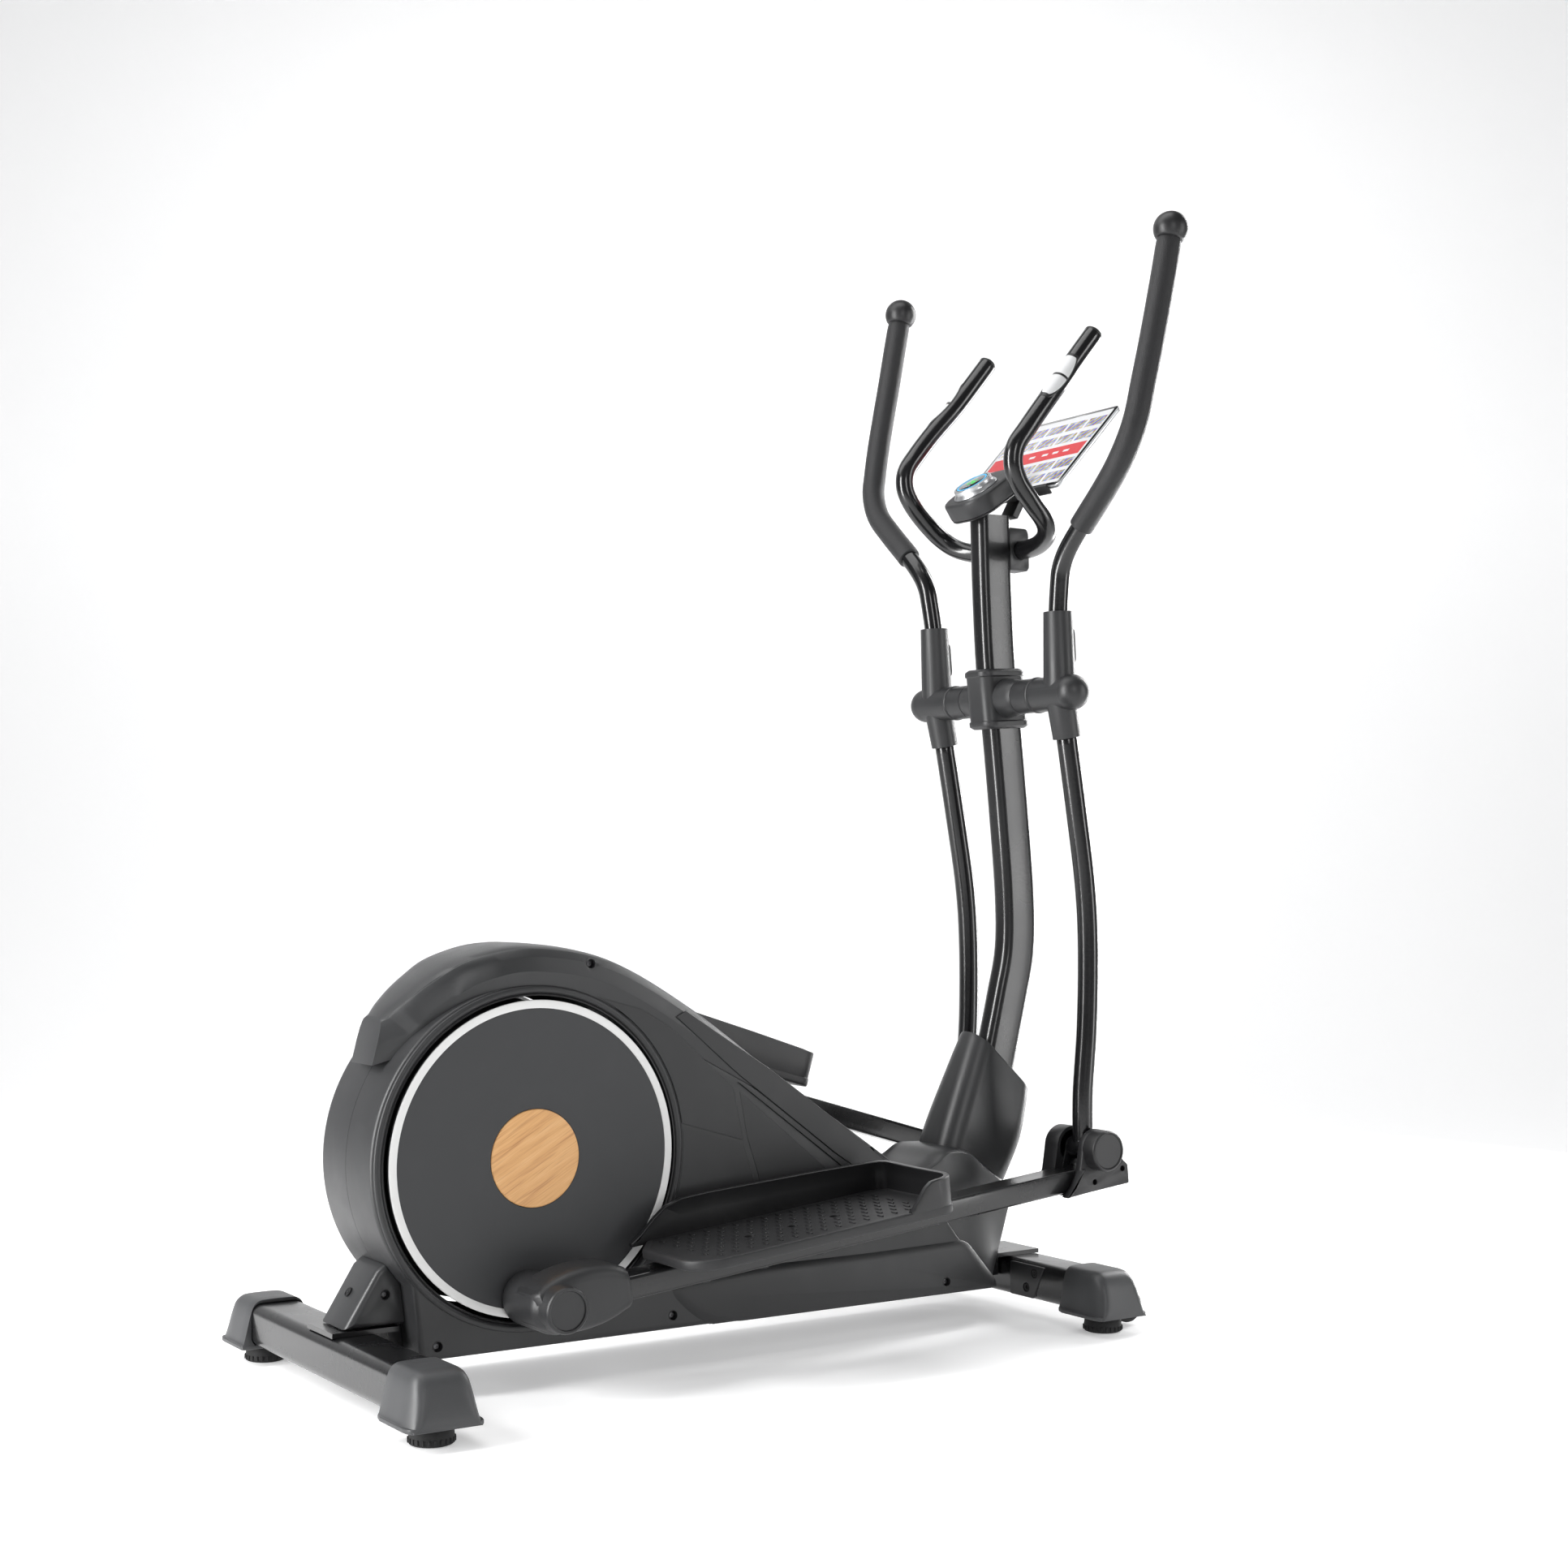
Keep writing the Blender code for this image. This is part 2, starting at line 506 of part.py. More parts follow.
def saddle_half_width(x):
    return SADDLE_HALF_WIDTH * float(np.interp(x, SADDLE_STATIONS, SADDLE_SHARES))


def build_top_cover(parent):
    """Saddle over the crest of the side covers, hollow and open below, narrowing to its blunt rear end."""
    crest = smooth([(0.588, 0.2275), (0.502, 0.286), (0.368, 0.376), (0.240, 0.4655), (0.118, 0.531),
                    (0.001, 0.552), (-0.080, 0.5385), (-0.130, 0.5110), (-0.165, 0.4830), (-0.184, 0.4640)], 2)
    last = len(crest) - 1

    def shell(wall, extra):
        rings = []
        for i, point in enumerate(crest[(1 if wall else 0):]):
            i += 1 if wall else 0
            ahead = (crest[min(i + 1, last)] - crest[max(i - 1, 0)]).normalized()
            inward = Vector((-ahead.y, ahead.x))
            top, low = point + inward * wall, point + inward * (0.085 + extra)
            if i == last:
                top, low = point + Vector((wall, -wall)), Vector((-0.198 + wall, 0.407 - extra))
            shoulder = top + (low - top).normalized() * 0.008
            rings.append([Vector((p.x, sign * (saddle_half_width(p.x) - wall - inset_by), p.y))
                          for sign, p, inset_by in ((-1, low, 0), (-1, shoulder, 0), (-1, top, 0.008),
                                                    (1, top, 0.008), (1, shoulder, 0), (1, low, 0))])
        return skin_rings(rings)

    cover = piece("top_cover", shell(0, 0), "grey_plastic", parent)
    below = inset(side_cover_outline(), -SEAM)
    half = SADDLE_HALF_WIDTH
    return cut(cover, shell(SKIN, 0.03), prism(below, [(-half - 0.01, 0), (half + 0.01, 0)]))


def build_neck_cover(parent):
    """Boxed cover over the rear neck, between the housing and the rear stabilizer."""
    outline = [(-0.130, 0.0885), (-0.130, 0.1720), (-0.1780, 0.1680), (-0.1900, 0.1580), (-0.2310, 0.1010),
               (-0.2345, 0.0950), (-0.2320, 0.0885)]
    half = 0.040
    cover = piece("rear_neck_cover", prism(outline, [(-half, 0.004), (-half + 0.003, 0.0008), (-half + 0.006, 0),
                                                     (half - 0.006, 0), (half - 0.003, 0.0008), (half, 0.004)]),
                  "grey_plastic", parent)
    hollow = [(x, z - 0.02 if z < 0.1 else z) for x, z in inset(outline, SKIN)]
    cut(cover, prism(hollow, [(-half + SKIN, 0), (half - SKIN, 0)]),
        prism(inset(side_cover_outline(), -SEAM), [(-0.09, 0), (0.09, 0)]))
    return cover


def mast_solid(margin, extra=0.0):
    """The mast's outside, grown by a margin; extra runs it on past both ends."""
    points = smooth([(x, 0, z) for x, z in MAST_LINE], 1)
    if extra:
        points = ([points[0] + (points[0] - points[1]).normalized() * extra] + points
                  + [points[-1] + (points[-1] - points[-2]).normalized() * extra])
    section = rounded_rectangle(MAST_WIDTH + 2 * margin, MAST_DEPTH + 2 * margin, MAST_CORNER + margin, 2)
    return sweep(points, section)


def boot_seam():
    """Top edge of the lower boot, rear to front."""
    return [(0.6160, 0.2230), (0.6370, 0.2335), (0.6650, 0.2480), (0.7070, 0.2440), (0.7450, 0.2190),
            (0.8010, 0.1850)]


def build_mast_boots(parent):
    """Lower flare round the mast's foot, and the sleeve that rises out of it."""
    bottom_x, bottom_z = COVER_FRONT_BOTTOM
    top_x, top_z = COVER_FRONT_TOP
    joint = Vector((bottom_z - top_z, top_x - bottom_x)).normalized() * -SEAM

    def flare(wall, margin):
        """Six cross sections from the housing's slanted seam forward to the boot's nose."""
        seam, levels = boot_seam(), []
        for i, (high, half) in enumerate(zip(seam, (0.0700, 0.0680, 0.0650, 0.0600, 0.0540, 0.0430))):
            share = i / (len(seam) - 1)
            low = Vector((bottom_x + joint.x + share * (BOOT_NOSE_X - bottom_x - joint.x), bottom_z - margin))
            if i == 0:
                high, low = Vector((top_x + joint.x, top_z + joint.y)), low
            high = Vector(high) + Vector((0, -wall))
            shift = Vector((-wall if i == len(seam) - 1 else (-margin if i == 0 else 0), 0))
            high, low, half = high + shift, low + shift, half - wall
            shoulder = high + (low - high).normalized() * 0.006
            levels.append([Vector((p.x, y, p.y)) for p, y in
                           ((low, -half), (shoulder, -half), (high, -half + 0.006), (high, half - 0.006),
                            (shoulder, half), (low, half))])
        return skin_rings(levels)

    lower = piece("mast_boot_lower", flare(0, 0), "grey_plastic", parent)
    cut(lower, flare(SKIN, 0.02))
    rings = (((0.7490, 0.4070), (0.8500, 0.3130), 0.0320), ((0.7270, 0.3600), (0.8430, 0.2860), 0.0365),
             ((0.6870, 0.2700), (0.8260, 0.2430), 0.0430), ((0.6660, 0.2050), (0.7880, 0.1750), 0.0440))

    def sleeve(wall, extra):
        levels = []
        for i, (rear, front, width) in enumerate(rings):
            rear, front = Vector((rear[0], 0, rear[1])), Vector((front[0], 0, front[1]))
            along = (front - rear).normalized()
            middle, length = (rear + front) / 2, (front - rear).length - 2 * wall
            lift = Vector((0, 0, extra if i == 0 else (-extra if i == 3 else 0)))
            levels.append([middle + lift + along * u + Vector((0, v, 0))
                           for u, v in rounded_rectangle(length, 2 * (width - wall), 0.020, 2)])
        return skin_rings(levels)

    upper = piece("mast_boot_upper", sleeve(0, 0), "grey_plastic", parent)
    cut(upper, sleeve(SKIN, 0.01), flare(-SEAM, 0.02))
    cut(lower, sleeve(SKIN + 0.004, 0.03), *beam_clearance(0.001))
    return lower, upper


# ---------------------------------------------------------------- mast and crossbar
def build_mast(parent):
    mast = piece("mast", mast_solid(0), "black_paint", parent)
    foot_x, foot_z = MAST_LINE[0]
    fuse(mast, box((foot_x - 0.034, foot_x + 0.031), (-0.030, 0.030), (foot_z, foot_z + PLATE_THICKNESS)))
    flat_top = pod_point(-0.2, -POD_THICKNESS - GAP), pod_point(0.2, -POD_THICKNESS - GAP)
    above = [(p.x, p.z) for p in flat_top] + [(p.x, p.z + 0.3) for p in reversed(flat_top)]
    return cut(mast, prism(above, [(-0.05, 0), (0.05, 0)]),
               box((foot_x - 0.08, foot_x + 0.08), (-0.05, 0.05), (foot_z - 0.05, foot_z)),
               rod((ROCKER_X, -0.05, ROCKER_Z), (ROCKER_X, 0.05, ROCKER_Z), AXLE_RADIUS + RUNNING))


def build_collar(parent):
    """Moulded collar that carries the crossbar axle through the mast."""
    near = min(MAST_LINE, key=lambda p: abs(p[1] - ROCKER_Z))
    lean = math.atan2(MAST_LINE[7][0] - near[0], near[1] - MAST_LINE[7][1])
    outline = [(ROCKER_X + u * math.cos(lean) - v * math.sin(lean) * 0.5, ROCKER_Z + u * math.sin(lean) * 0.5 + v)
               for u, v in rounded_rectangle(COLLAR_DEPTH, COLLAR_HEIGHT, 0.007, 2)]
    half = COLLAR_HALF_WIDTH
    collar = piece("mast_collar", prism(outline, [(-half, 0.004), (-half + 0.004, 0), (half - 0.004, 0),
                                                  (half, 0.004)]), "charcoal_plastic", parent)
    fuse(collar, rod((ROCKER_X, -COLLAR_REACH, ROCKER_Z), (ROCKER_X, COLLAR_REACH, ROCKER_Z), CROSSBAR_RADIUS))
    return cut(collar, mast_solid(GAP),
               rod((ROCKER_X, -0.09, ROCKER_Z), (ROCKER_X, 0.09, ROCKER_Z), AXLE_RADIUS + RUNNING))


def build_cross_axle(parent):
    reach = HUB_BALL_Y - 0.006
    return piece("crossbar_axle", rod((ROCKER_X, -reach, ROCKER_Z), (ROCKER_X, reach, ROCKER_Z), AXLE_RADIUS),
                 "bare_steel", parent)


# ---------------------------------------------------------------- fixed handlebar
def handlebar_half(sign):
    return smooth([(x, sign * y, z) for x, y, z in HANDLEBAR_LINE], 1)


def build_handlebar(parent):
    """One bent tube from hand to hand, passing in front of the mast."""
    line = handlebar_half(-1) + list(reversed(handlebar_half(1)))[1:]
    return piece("fixed_handlebar", sweep(line, circle(BAR_TUBE_RADIUS, TUBE_SECTION), (1, 0, 0)), "black_paint", parent)


def build_clamp(parent):
    """Block that holds the fixed handlebar against the front of the mast."""
    outline = [(ROCKER_X + 0.0, CLAMP_BOTTOM), (CLAMP_FRONT - 0.004, CLAMP_BOTTOM),
               (CLAMP_FRONT, CLAMP_BOTTOM + 0.006), (CLAMP_FRONT - 0.002, CLAMP_TOP - 0.006),
               (CLAMP_FRONT - 0.006, CLAMP_TOP), (ROCKER_X + 0.0, CLAMP_TOP)]
    half = CLAMP_HALF_WIDTH
    clamp = piece("handlebar_clamp", prism(outline, [(-half, 0.002), (-half + 0.002, 0), (half - 0.002, 0),
                                                     (half, 0.002)]), "charcoal_plastic", parent)
    line = [p for p in handlebar_half(-1) + list(reversed(handlebar_half(1)))[1:] if abs(p.y) < 0.06]
    return cut(clamp, mast_solid(GAP), sweep(line, circle(BAR_TUBE_RADIUS + GAP, TUBE_SECTION), (1, 0, 0)))


def build_pulse_sensor(side, parent):
    """Sleeve with the two contact plates of the pulse sensor, on the upright of the fixed bar."""
    line = handlebar_half(SIDES[side])
    outer = cut_line(line, 0.062, 0.142)
    inner = cut_line(line, 0.050, 0.156)
    sleeve = piece(f"{side}_pulse_sensor", sweep(outer, circle(SENSOR_RADIUS, TUBE_SECTION), (1, 0, 0)), "aluminium", parent)
    return cut(sleeve, sweep(inner, circle(BAR_TUBE_RADIUS + GAP, TUBE_SECTION), (1, 0, 0)))


# ---------------------------------------------------------------- console
def pod_point(along, height, y=0.0):
    """A point on the console, measured from the dial's foot along and above the pod's top face."""
    tilt = math.radians(POD_TILT)
    return Vector((DIAL_X + along * math.cos(tilt) - height * math.sin(tilt), y,
                   DIAL_Z + along * math.sin(tilt) + height * math.cos(tilt)))


def tablet_point(along, height, y=0.0):
    """A point on the tablet, measured from the middle of its lower front edge."""
    tilt = math.radians(TABLET_TILT)
    return Vector((TABLET_X + along * math.cos(tilt) - height * math.sin(tilt), y,
                   TABLET_Z + along * math.sin(tilt) + height * math.cos(tilt)))


def tilted_slab(outline, levels, point):
    """An outline of (along, Y) drawn through heights, on the pod or on the tablet."""
    return skin_rings([[point(u, height, v) for u, v in inset(outline, depth)] for height, depth in levels])


def pod_outline():
    length = POD_BACK + POD_AHEAD
    shift = (POD_AHEAD - POD_BACK) / 2
    return [(u + shift, v) for u, v in rounded_rectangle(length, 2 * POD_HALF_WIDTH, 0.030, 4)]


def build_console(parent):
    """Pod on top of the mast: housing, bottom plate and round display."""
    outline = pod_outline()
    housing = piece("console_housing", tilted_slab(outline, [(-POD_THICKNESS + 0.0028, 0.001), (-0.003, 0), (0, 0.003)],
                                                   pod_point), "charcoal_plastic", parent)
    cut(housing, tilted_slab(outline, [(-POD_THICKNESS - 0.01, 0.0035), (-SKIN, 0.0035)], pod_point),
        rod(pod_point(0, -0.02), pod_point(0, 0.01), 0.0065, 10))
    plate = tilted_slab(outline, [(-POD_THICKNESS, 0.0010), (-POD_THICKNESS + 0.0025, 0.0010)], pod_point)
    piece("console_base", plate, "black_plastic", parent)
    face = DIAL_RADIUS - DIAL_WALL - 0.0006
    display = piece("console_display", rod(pod_point(0, DIAL_HEIGHT - 0.0050), pod_point(0, DIAL_HEIGHT - 0.0012),
                                           face, 20), "glass_black", parent)
    fuse(display, rod(pod_point(0, -0.012), pod_point(0, DIAL_HEIGHT - 0.0040), 0.0060, 10))


def build_dial(parent):
    """Aluminium ring that turns round the display to set the resistance."""
    tilt = math.radians(POD_TILT)
    pivot = empty("resistance_dial_axis", pod_point(0, 0), -tilt, parent)
    profile = [(0.0072, 0.0004), (DIAL_RADIUS, 0.0004), (DIAL_RADIUS, DIAL_HEIGHT - 0.0015),
               (DIAL_RADIUS - 0.0015, DIAL_HEIGHT), (DIAL_RADIUS - DIAL_WALL, DIAL_HEIGHT),
               (DIAL_RADIUS - DIAL_WALL, 0.0042), (0.0072, 0.0042)]
    ring = lathe(profile, 20)
    ring.transform(Matrix.Rotation(math.radians(90), 4, "X"))
    return piece("resistance_dial", ring, "aluminium", pivot)


def build_tablet_rest(parent):
    """Ledge and back plate that carry a tablet in front of the console pod."""
    clear = TABLET_THICKNESS + 0.0006
    back = [(-0.0006, -0.075), (0.120, -0.060), (0.120, 0.060), (-0.0006, 0.075)]
    rest = piece("tablet_rest", tilted_slab(back, [(-clear - 0.004, 0), (-clear, 0)], tablet_point),
                 "black_plastic", parent)
    ledge = [(-0.0036, -0.095), (-0.0006, -0.095), (-0.0006, 0.095), (-0.0036, 0.095)]
    lip = [(-0.0036, -0.095), (0.0030, -0.095), (0.0030, 0.095), (-0.0036, 0.095)]
    arm_top, arm_foot = tablet_point(0.035, -clear - 0.008), Vector((MAST_LINE[-1][0] + 0.0365, 0, 1.1700))
    arm = [[p + Vector((dx, dy, dz)) for dx, dy, dz in ((-0.005, -0.015, 0.002), (0.005, -0.015, -0.002),
                                                        (0.005, 0.015, -0.002), (-0.005, 0.015, 0.002))]
           for p in (arm_foot, arm_top)]
    fuse(rest, tilted_slab(ledge, [(-clear - 0.004, 0), (0.0030, 0)], tablet_point),
         tilted_slab(lip, [(0.0006, 0), (0.0030, 0)], tablet_point), skin_rings(arm))
    return cut(rest, mast_solid(GAP), tilted_slab(pod_outline(), [(-POD_THICKNESS - 0.001, -0.0006), (0.001, -0.0006)],
                                                  pod_point))


def build_tablet(parent):
    """A tablet leaning on its rest, free to lift out."""
    outline = [(u + TABLET_LENGTH / 2, v) for u, v in rounded_rectangle(TABLET_LENGTH, TABLET_WIDTH, 0.009, 3)]
    levels = [(-TABLET_THICKNESS, 0.002), (-TABLET_THICKNESS + 0.002, 0), (-0.001, 0), (0, 0.001)]
    return piece("tablet", tilted_slab(outline, levels, tablet_point), "glass_black", parent)


# ---------------------------------------------------------------- drive train
def build_crank(parent):
    """Axle, drive pulley, and on each side a crank disc with its bamboo hub cover."""
    pivot = empty("crank_axis", (0, 0, CRANK_Z), parent=parent)
    hub_back = DISC_FACE_Y - 0.0026
    piece("crank_axle", rod((0, -hub_back + GAP, 0), (0, hub_back - GAP, 0), AXLE_RADIUS), "bare_steel", pivot)
    half, bore = PULLEY_WIDTH / 2, AXLE_RADIUS + GAP
    web, rim = 0.002, PULLEY_RADIUS - 0.012
    pulley = [(bore, -web), (rim, -web), (rim, -half), (PULLEY_RADIUS, -half), (PULLEY_RADIUS, half),
              (rim, half), (rim, web), (bore, web)]
    piece("drive_pulley", lathe([(r, y + PULLEY_Y) for r, y in pulley], 24), "black_plastic", pivot)
    for side, sign in SIDES.items():
        face, back = DISC_FACE_Y, DISC_FACE_Y - DISC_THICKNESS
        recess = HUB_RADIUS + 0.0004
        profile = [(bore, 0.056), (0.022, 0.056), (0.022, back), (DISC_RADIUS, back), (DISC_RADIUS, face + 0.0006), (DISC_RADIUS - 0.0105, face + 0.0006),
                   (DISC_RADIUS - 0.0110, face), (recess, face), (recess, hub_back), (bore, hub_back)]
        piece(f"{side}_crank_disc", lathe([(r, sign * y) for r, y in profile], 28),
                     "charcoal_plastic", pivot)
        hub = [(0, hub_back + GAP), (HUB_RADIUS, hub_back + GAP), (HUB_RADIUS, face + 0.0002),
               (HUB_RADIUS - 0.001, face + 0.0008), (0, face + 0.0008)]
        piece(f"{side}_hub_cover", lathe([(r, sign * y) for r, y in hub], 20), "bamboo", pivot)


def build_flywheel(parent):
    pivot = empty("flywheel_axis", (FLYWHEEL_X, 0, FLYWHEEL_Z), parent=parent)
    half, bore = FLYWHEEL_WIDTH / 2, SHAFT_RADIUS + GAP
    wheel = [(bore, -0.006), (0.088, -0.006), (0.093, -half), (FLYWHEEL_RADIUS, -half),
             (FLYWHEEL_RADIUS, half), (0.093, half), (0.088, 0.006), (bore, 0.006)]
    piece("flywheel", lathe(wheel, 24), "cast_iron", pivot)
    edge = PULLEY_WIDTH / 2
    shaft = [(0, -0.031), (SHAFT_RADIUS, -0.031), (SHAFT_RADIUS, PULLEY_Y - edge - 0.001),
             (SMALL_PULLEY_RADIUS, PULLEY_Y - edge - 0.001), (SMALL_PULLEY_RADIUS, PULLEY_Y + edge + 0.001),
             (0, PULLEY_Y + edge + 0.001)]
    piece("flywheel_shaft", lathe(shaft, 16), "bare_steel", pivot)


def build_belt(parent):
    """Flat belt from the drive pulley to the flywheel shaft."""
    inner = belt_line((0, CRANK_Z), PULLEY_RADIUS + GAP, (FLYWHEEL_X, FLYWHEEL_Z), SMALL_PULLEY_RADIUS + GAP, 24)
    scale = 1.0 / math.cos(math.radians(5))
    low, high = PULLEY_Y - PULLEY_WIDTH / 2 + 0.0008, PULLEY_Y + PULLEY_WIDTH / 2 - 0.0008
    inner = inset(inner, -PULLEY_RADIUS * (scale - 1.0))
    outer = inset(inner, -BELT_THICKNESS)
    rings = [[Vector((a[0], low, a[1])), Vector((b[0], low, b[1])), Vector((b[0], high, b[1])),
              Vector((a[0], high, a[1]))] for a, b in zip(inner, outer)]
    return piece("drive_belt", skin_rings(rings, closed=True), "rubber", parent)


def build_magnets(parent):
    """Curved magnet bracket behind the flywheel's rim, hinged at its lower end."""
    pivot_x, pivot_z = magnet_pivot()
    pivot = empty("magnet_bracket_axis", (pivot_x, 0, pivot_z), parent=parent)
    centre = (FLYWHEEL_X - pivot_x, FLYWHEEL_Z - pivot_z)
    near, far = FLYWHEEL_RADIUS + MAGNET_GAP, FLYWHEEL_RADIUS + MAGNET_GAP + 0.008
    outline = arc(centre, near, -46, 22, 8) + arc(centre, far, 22, -46, 8)
    bracket = piece("magnet_bracket", prism(outline, [(-0.0145, 0), (0.0145, 0)]), "bare_steel", pivot)
    start = arc(centre, (near + far) / 2, -43, 0, 2)[0]
    heading = Vector(start).normalized() * 0.004
    link = [(-heading.y, heading.x), (heading.y, -heading.x), (start[0] + heading.y, start[1] - heading.x),
            (start[0] - heading.y, start[1] + heading.x)]
    fuse(bracket, prism(link, [(-0.0145, 0), (0.0145, 0)]), rod((0, -0.0145, 0), (0, 0.0145, 0), 0.006, 12))
    return cut(bracket, rod((0, -0.03, 0), (0, 0.03, 0), 0.003 + RUNNING, 12))


# ---------------------------------------------------------------- swing arms
def handle_line(sign):
    """Handle from the hub's socket up to the ball, in the arm's own frame."""
    points = ((0.0010, ARM_Y, 0.0700), (0.0020, ARM_Y, 0.0950), (0.0036, ARM_Y + 0.0010, 0.1168),
              (0.0042, 0.1510, 0.1555), (0.0048, 0.1565, 0.1790), (0.0058, 0.1710, 0.2027),
              (0.0076, 0.2020, 0.2346), (0.0090, 0.2460, 0.2747), (0.0105, 0.2780, 0.3077),
              (0.0178, 0.2970, 0.3432), (0.0284, 0.3035, 0.3767), (0.0412, 0.3060, 0.4220),
              (0.0572, 0.3075, 0.4741), (0.0732, 0.3080, 0.5272), (0.0888, 0.3085, 0.5809),
              (0.1044, 0.3080, 0.6350))
    return smooth([(x, sign * y, z) for x, y, z in points], 1)


def build_arm(side, parent):
    """Everything that swings on the crossbar: hub, handle, foam grip, ball end, lower arm."""
    sign = SIDES[side]
    pivot = empty(f"{side}_arm_axis", (ROCKER_X, 0, ROCKER_Z), arm_tilt(side), parent)
    bore = AXLE_RADIUS + RUNNING
    dome = arc((HUB_BALL_Y, 0), HUB_BALL_RADIUS, 104, 0, 7)
    profile = [(0, HUB_START), (CROSSBAR_RADIUS, HUB_START)] + [(r, y) for y, r in dome[:-1]] + [(0, dome[-1][0])]
    hub = piece(f"{side}_arm_hub", lathe([(r, sign * y) for r, y in profile], 16), "charcoal_plastic", pivot)
    arm_y = sign * ARM_Y
    upper_top, lower_end = Vector((0.0036, arm_y, UPPER_SLEEVE)), Vector((0.0086, arm_y, -LOWER_SLEEVE))
    fuse(hub, rod((0, arm_y, 0), upper_top, 0.0237, 14, 0.0208), rod((0, arm_y, 0), lower_end, 0.0215, 14, 0.0200),
         box((0.012, 0.0275), (arm_y - 0.009, arm_y + 0.009), (0.040, 0.096)))
    line = handle_line(sign)
    swing = smooth([(0.0045, arm_y, -0.0330), (0.0086, arm_y, -LOWER_SLEEVE)]
                   + [(ahead, arm_y, -share * ROCKER_LENGTH) for ahead, share in SWING_BOW]
                   + [(0.0, arm_y, -ROCKER_LENGTH + 0.004)], 2)
    cut(hub, rod((0, sign * (HUB_START - 0.01), 0), (0, sign * (HUB_BALL_Y - 0.004), 0), bore),
        sweep([line[0] - Vector((0, 0, GAP))] + cut_line(line, 0.01, UPPER_SLEEVE - line[0].z + 0.01), circle(HANDLE_RADIUS + GAP, TUBE_SECTION), (1, 0, 0)),
        sweep([swing[0] + Vector((0, 0, GAP))] + cut_line(swing, 0.01, LOWER_SLEEVE + swing[0].z + 0.01), circle(SWING_RADIUS + GAP, TUBE_SECTION), (1, 0, 0)))
    grip_start = line_length(line) - 0.455
    grip_end = line_length(line) - 0.012
    grip_line = cut_line(line, grip_start, grip_end)
    tube_line = cut_line(line, 0, grip_end + 0.008)
    piece(f"{side}_handle_tube", sweep(tube_line, circle(HANDLE_RADIUS, TUBE_SECTION), (1, 0, 0)),
          "black_paint", pivot)
    grip = piece(f"{side}_handle_grip", sweep(grip_line, circle(GRIP_RADIUS, TUBE_SECTION), (1, 0, 0)), "foam", pivot)
    cut(grip, sweep(cut_line(line, grip_start - 0.004, line_length(line) - 0.001),
                    circle(HANDLE_RADIUS + GAP, TUBE_SECTION), (1, 0, 0)))
    heading = (line[-1] - line[-2]).normalized()
    centre = grip_line[-1] + heading * 0.0165
    start = math.degrees(math.acos(-0.0162 / BALL_RADIUS))
    turned = [(radius, along) for along, radius in arc((0, 0), BALL_RADIUS, start, 0, 7)[:-1]]
    ball = lathe([(0, -0.0162)] + turned + [(0, BALL_RADIUS)], 14)
    ball.transform(Matrix.Translation(centre) @ Vector((0, 1, 0)).rotation_difference(heading).to_matrix().to_4x4())
    cap = piece(f"{side}_grip_cap", ball, "black_plastic", pivot)
    cut(cap, rod(grip_line[-1] - heading * 0.02, grip_line[-1] + heading * 0.0095, HANDLE_RADIUS + 0.001, 12))
    tube = piece(f"{side}_swing_tube", sweep(swing, circle(SWING_RADIUS, TUBE_SECTION), (1, 0, 0)), "black_paint", pivot)
    low = Vector((0, arm_y, -ROCKER_LENGTH))
    half = BAR_HALF_WIDTH - EAR_THICKNESS - 0.0015
    fuse(tube, rod(low - Vector((0, half, 0)), low + Vector((0, half, 0)), 0.017))
    cut(tube, rod(low - Vector((0, 0.04, 0)), low + Vector((0, 0.04, 0)), PIVOT_PIN_RADIUS + RUNNING))


# ---------------------------------------------------------------- pedal bars
def build_bar(side, parent):
    """Pedal bar, its crank boss and pivot cover, and the foot tray."""
    sign = SIDES[side]
    pivot_x, pivot_z = lower_pivot(side)
    pivot = empty(f"{side}_bar_axis", (pivot_x, 0, pivot_z), bar_tilt(side), parent)
    arm_y = sign * ARM_Y
    top = -BAR_DROP + BAR_HALF_HEIGHT
    pin = Vector((-BAR_LENGTH, 0, -BAR_DROP))
    bar = piece(f"{side}_pedal_bar",
                sweep([Vector((x, arm_y, -BAR_DROP)) for x in (-BAR_LENGTH, BAR_FRONT)],
                      rounded_rectangle(2 * BAR_HALF_WIDTH, 2 * BAR_HALF_HEIGHT, 0.004, 2)), "black_paint", pivot)
    ear = arc((0, 0), 0.0155, 10, 170, 6) + [(-0.024, top - 0.004), (0.024, top - 0.004)]
    for inner in (-BAR_HALF_WIDTH, BAR_HALF_WIDTH - EAR_THICKNESS):
        fuse(bar, prism(ear, [(arm_y + inner, 0), (arm_y + inner + EAR_THICKNESS, 0)]))
    fuse(bar, rod((0, arm_y - BAR_HALF_WIDTH + 0.001, 0), (0, arm_y + BAR_HALF_WIDTH - 0.001, 0),
                  PIVOT_PIN_RADIUS),
         rod(pin + Vector((0, arm_y - sign * 0.030, 0)), pin + Vector((0, arm_y + sign * 0.030, 0)), 0.022),
         rod(pin + Vector((0, sign * PIN_END_Y, 0)), pin + Vector((0, arm_y, 0)), PIN_RADIUS))
    build_boss(side, pivot, pin)
    build_pivot_cover(side, pivot)
    build_tray(side, pivot)


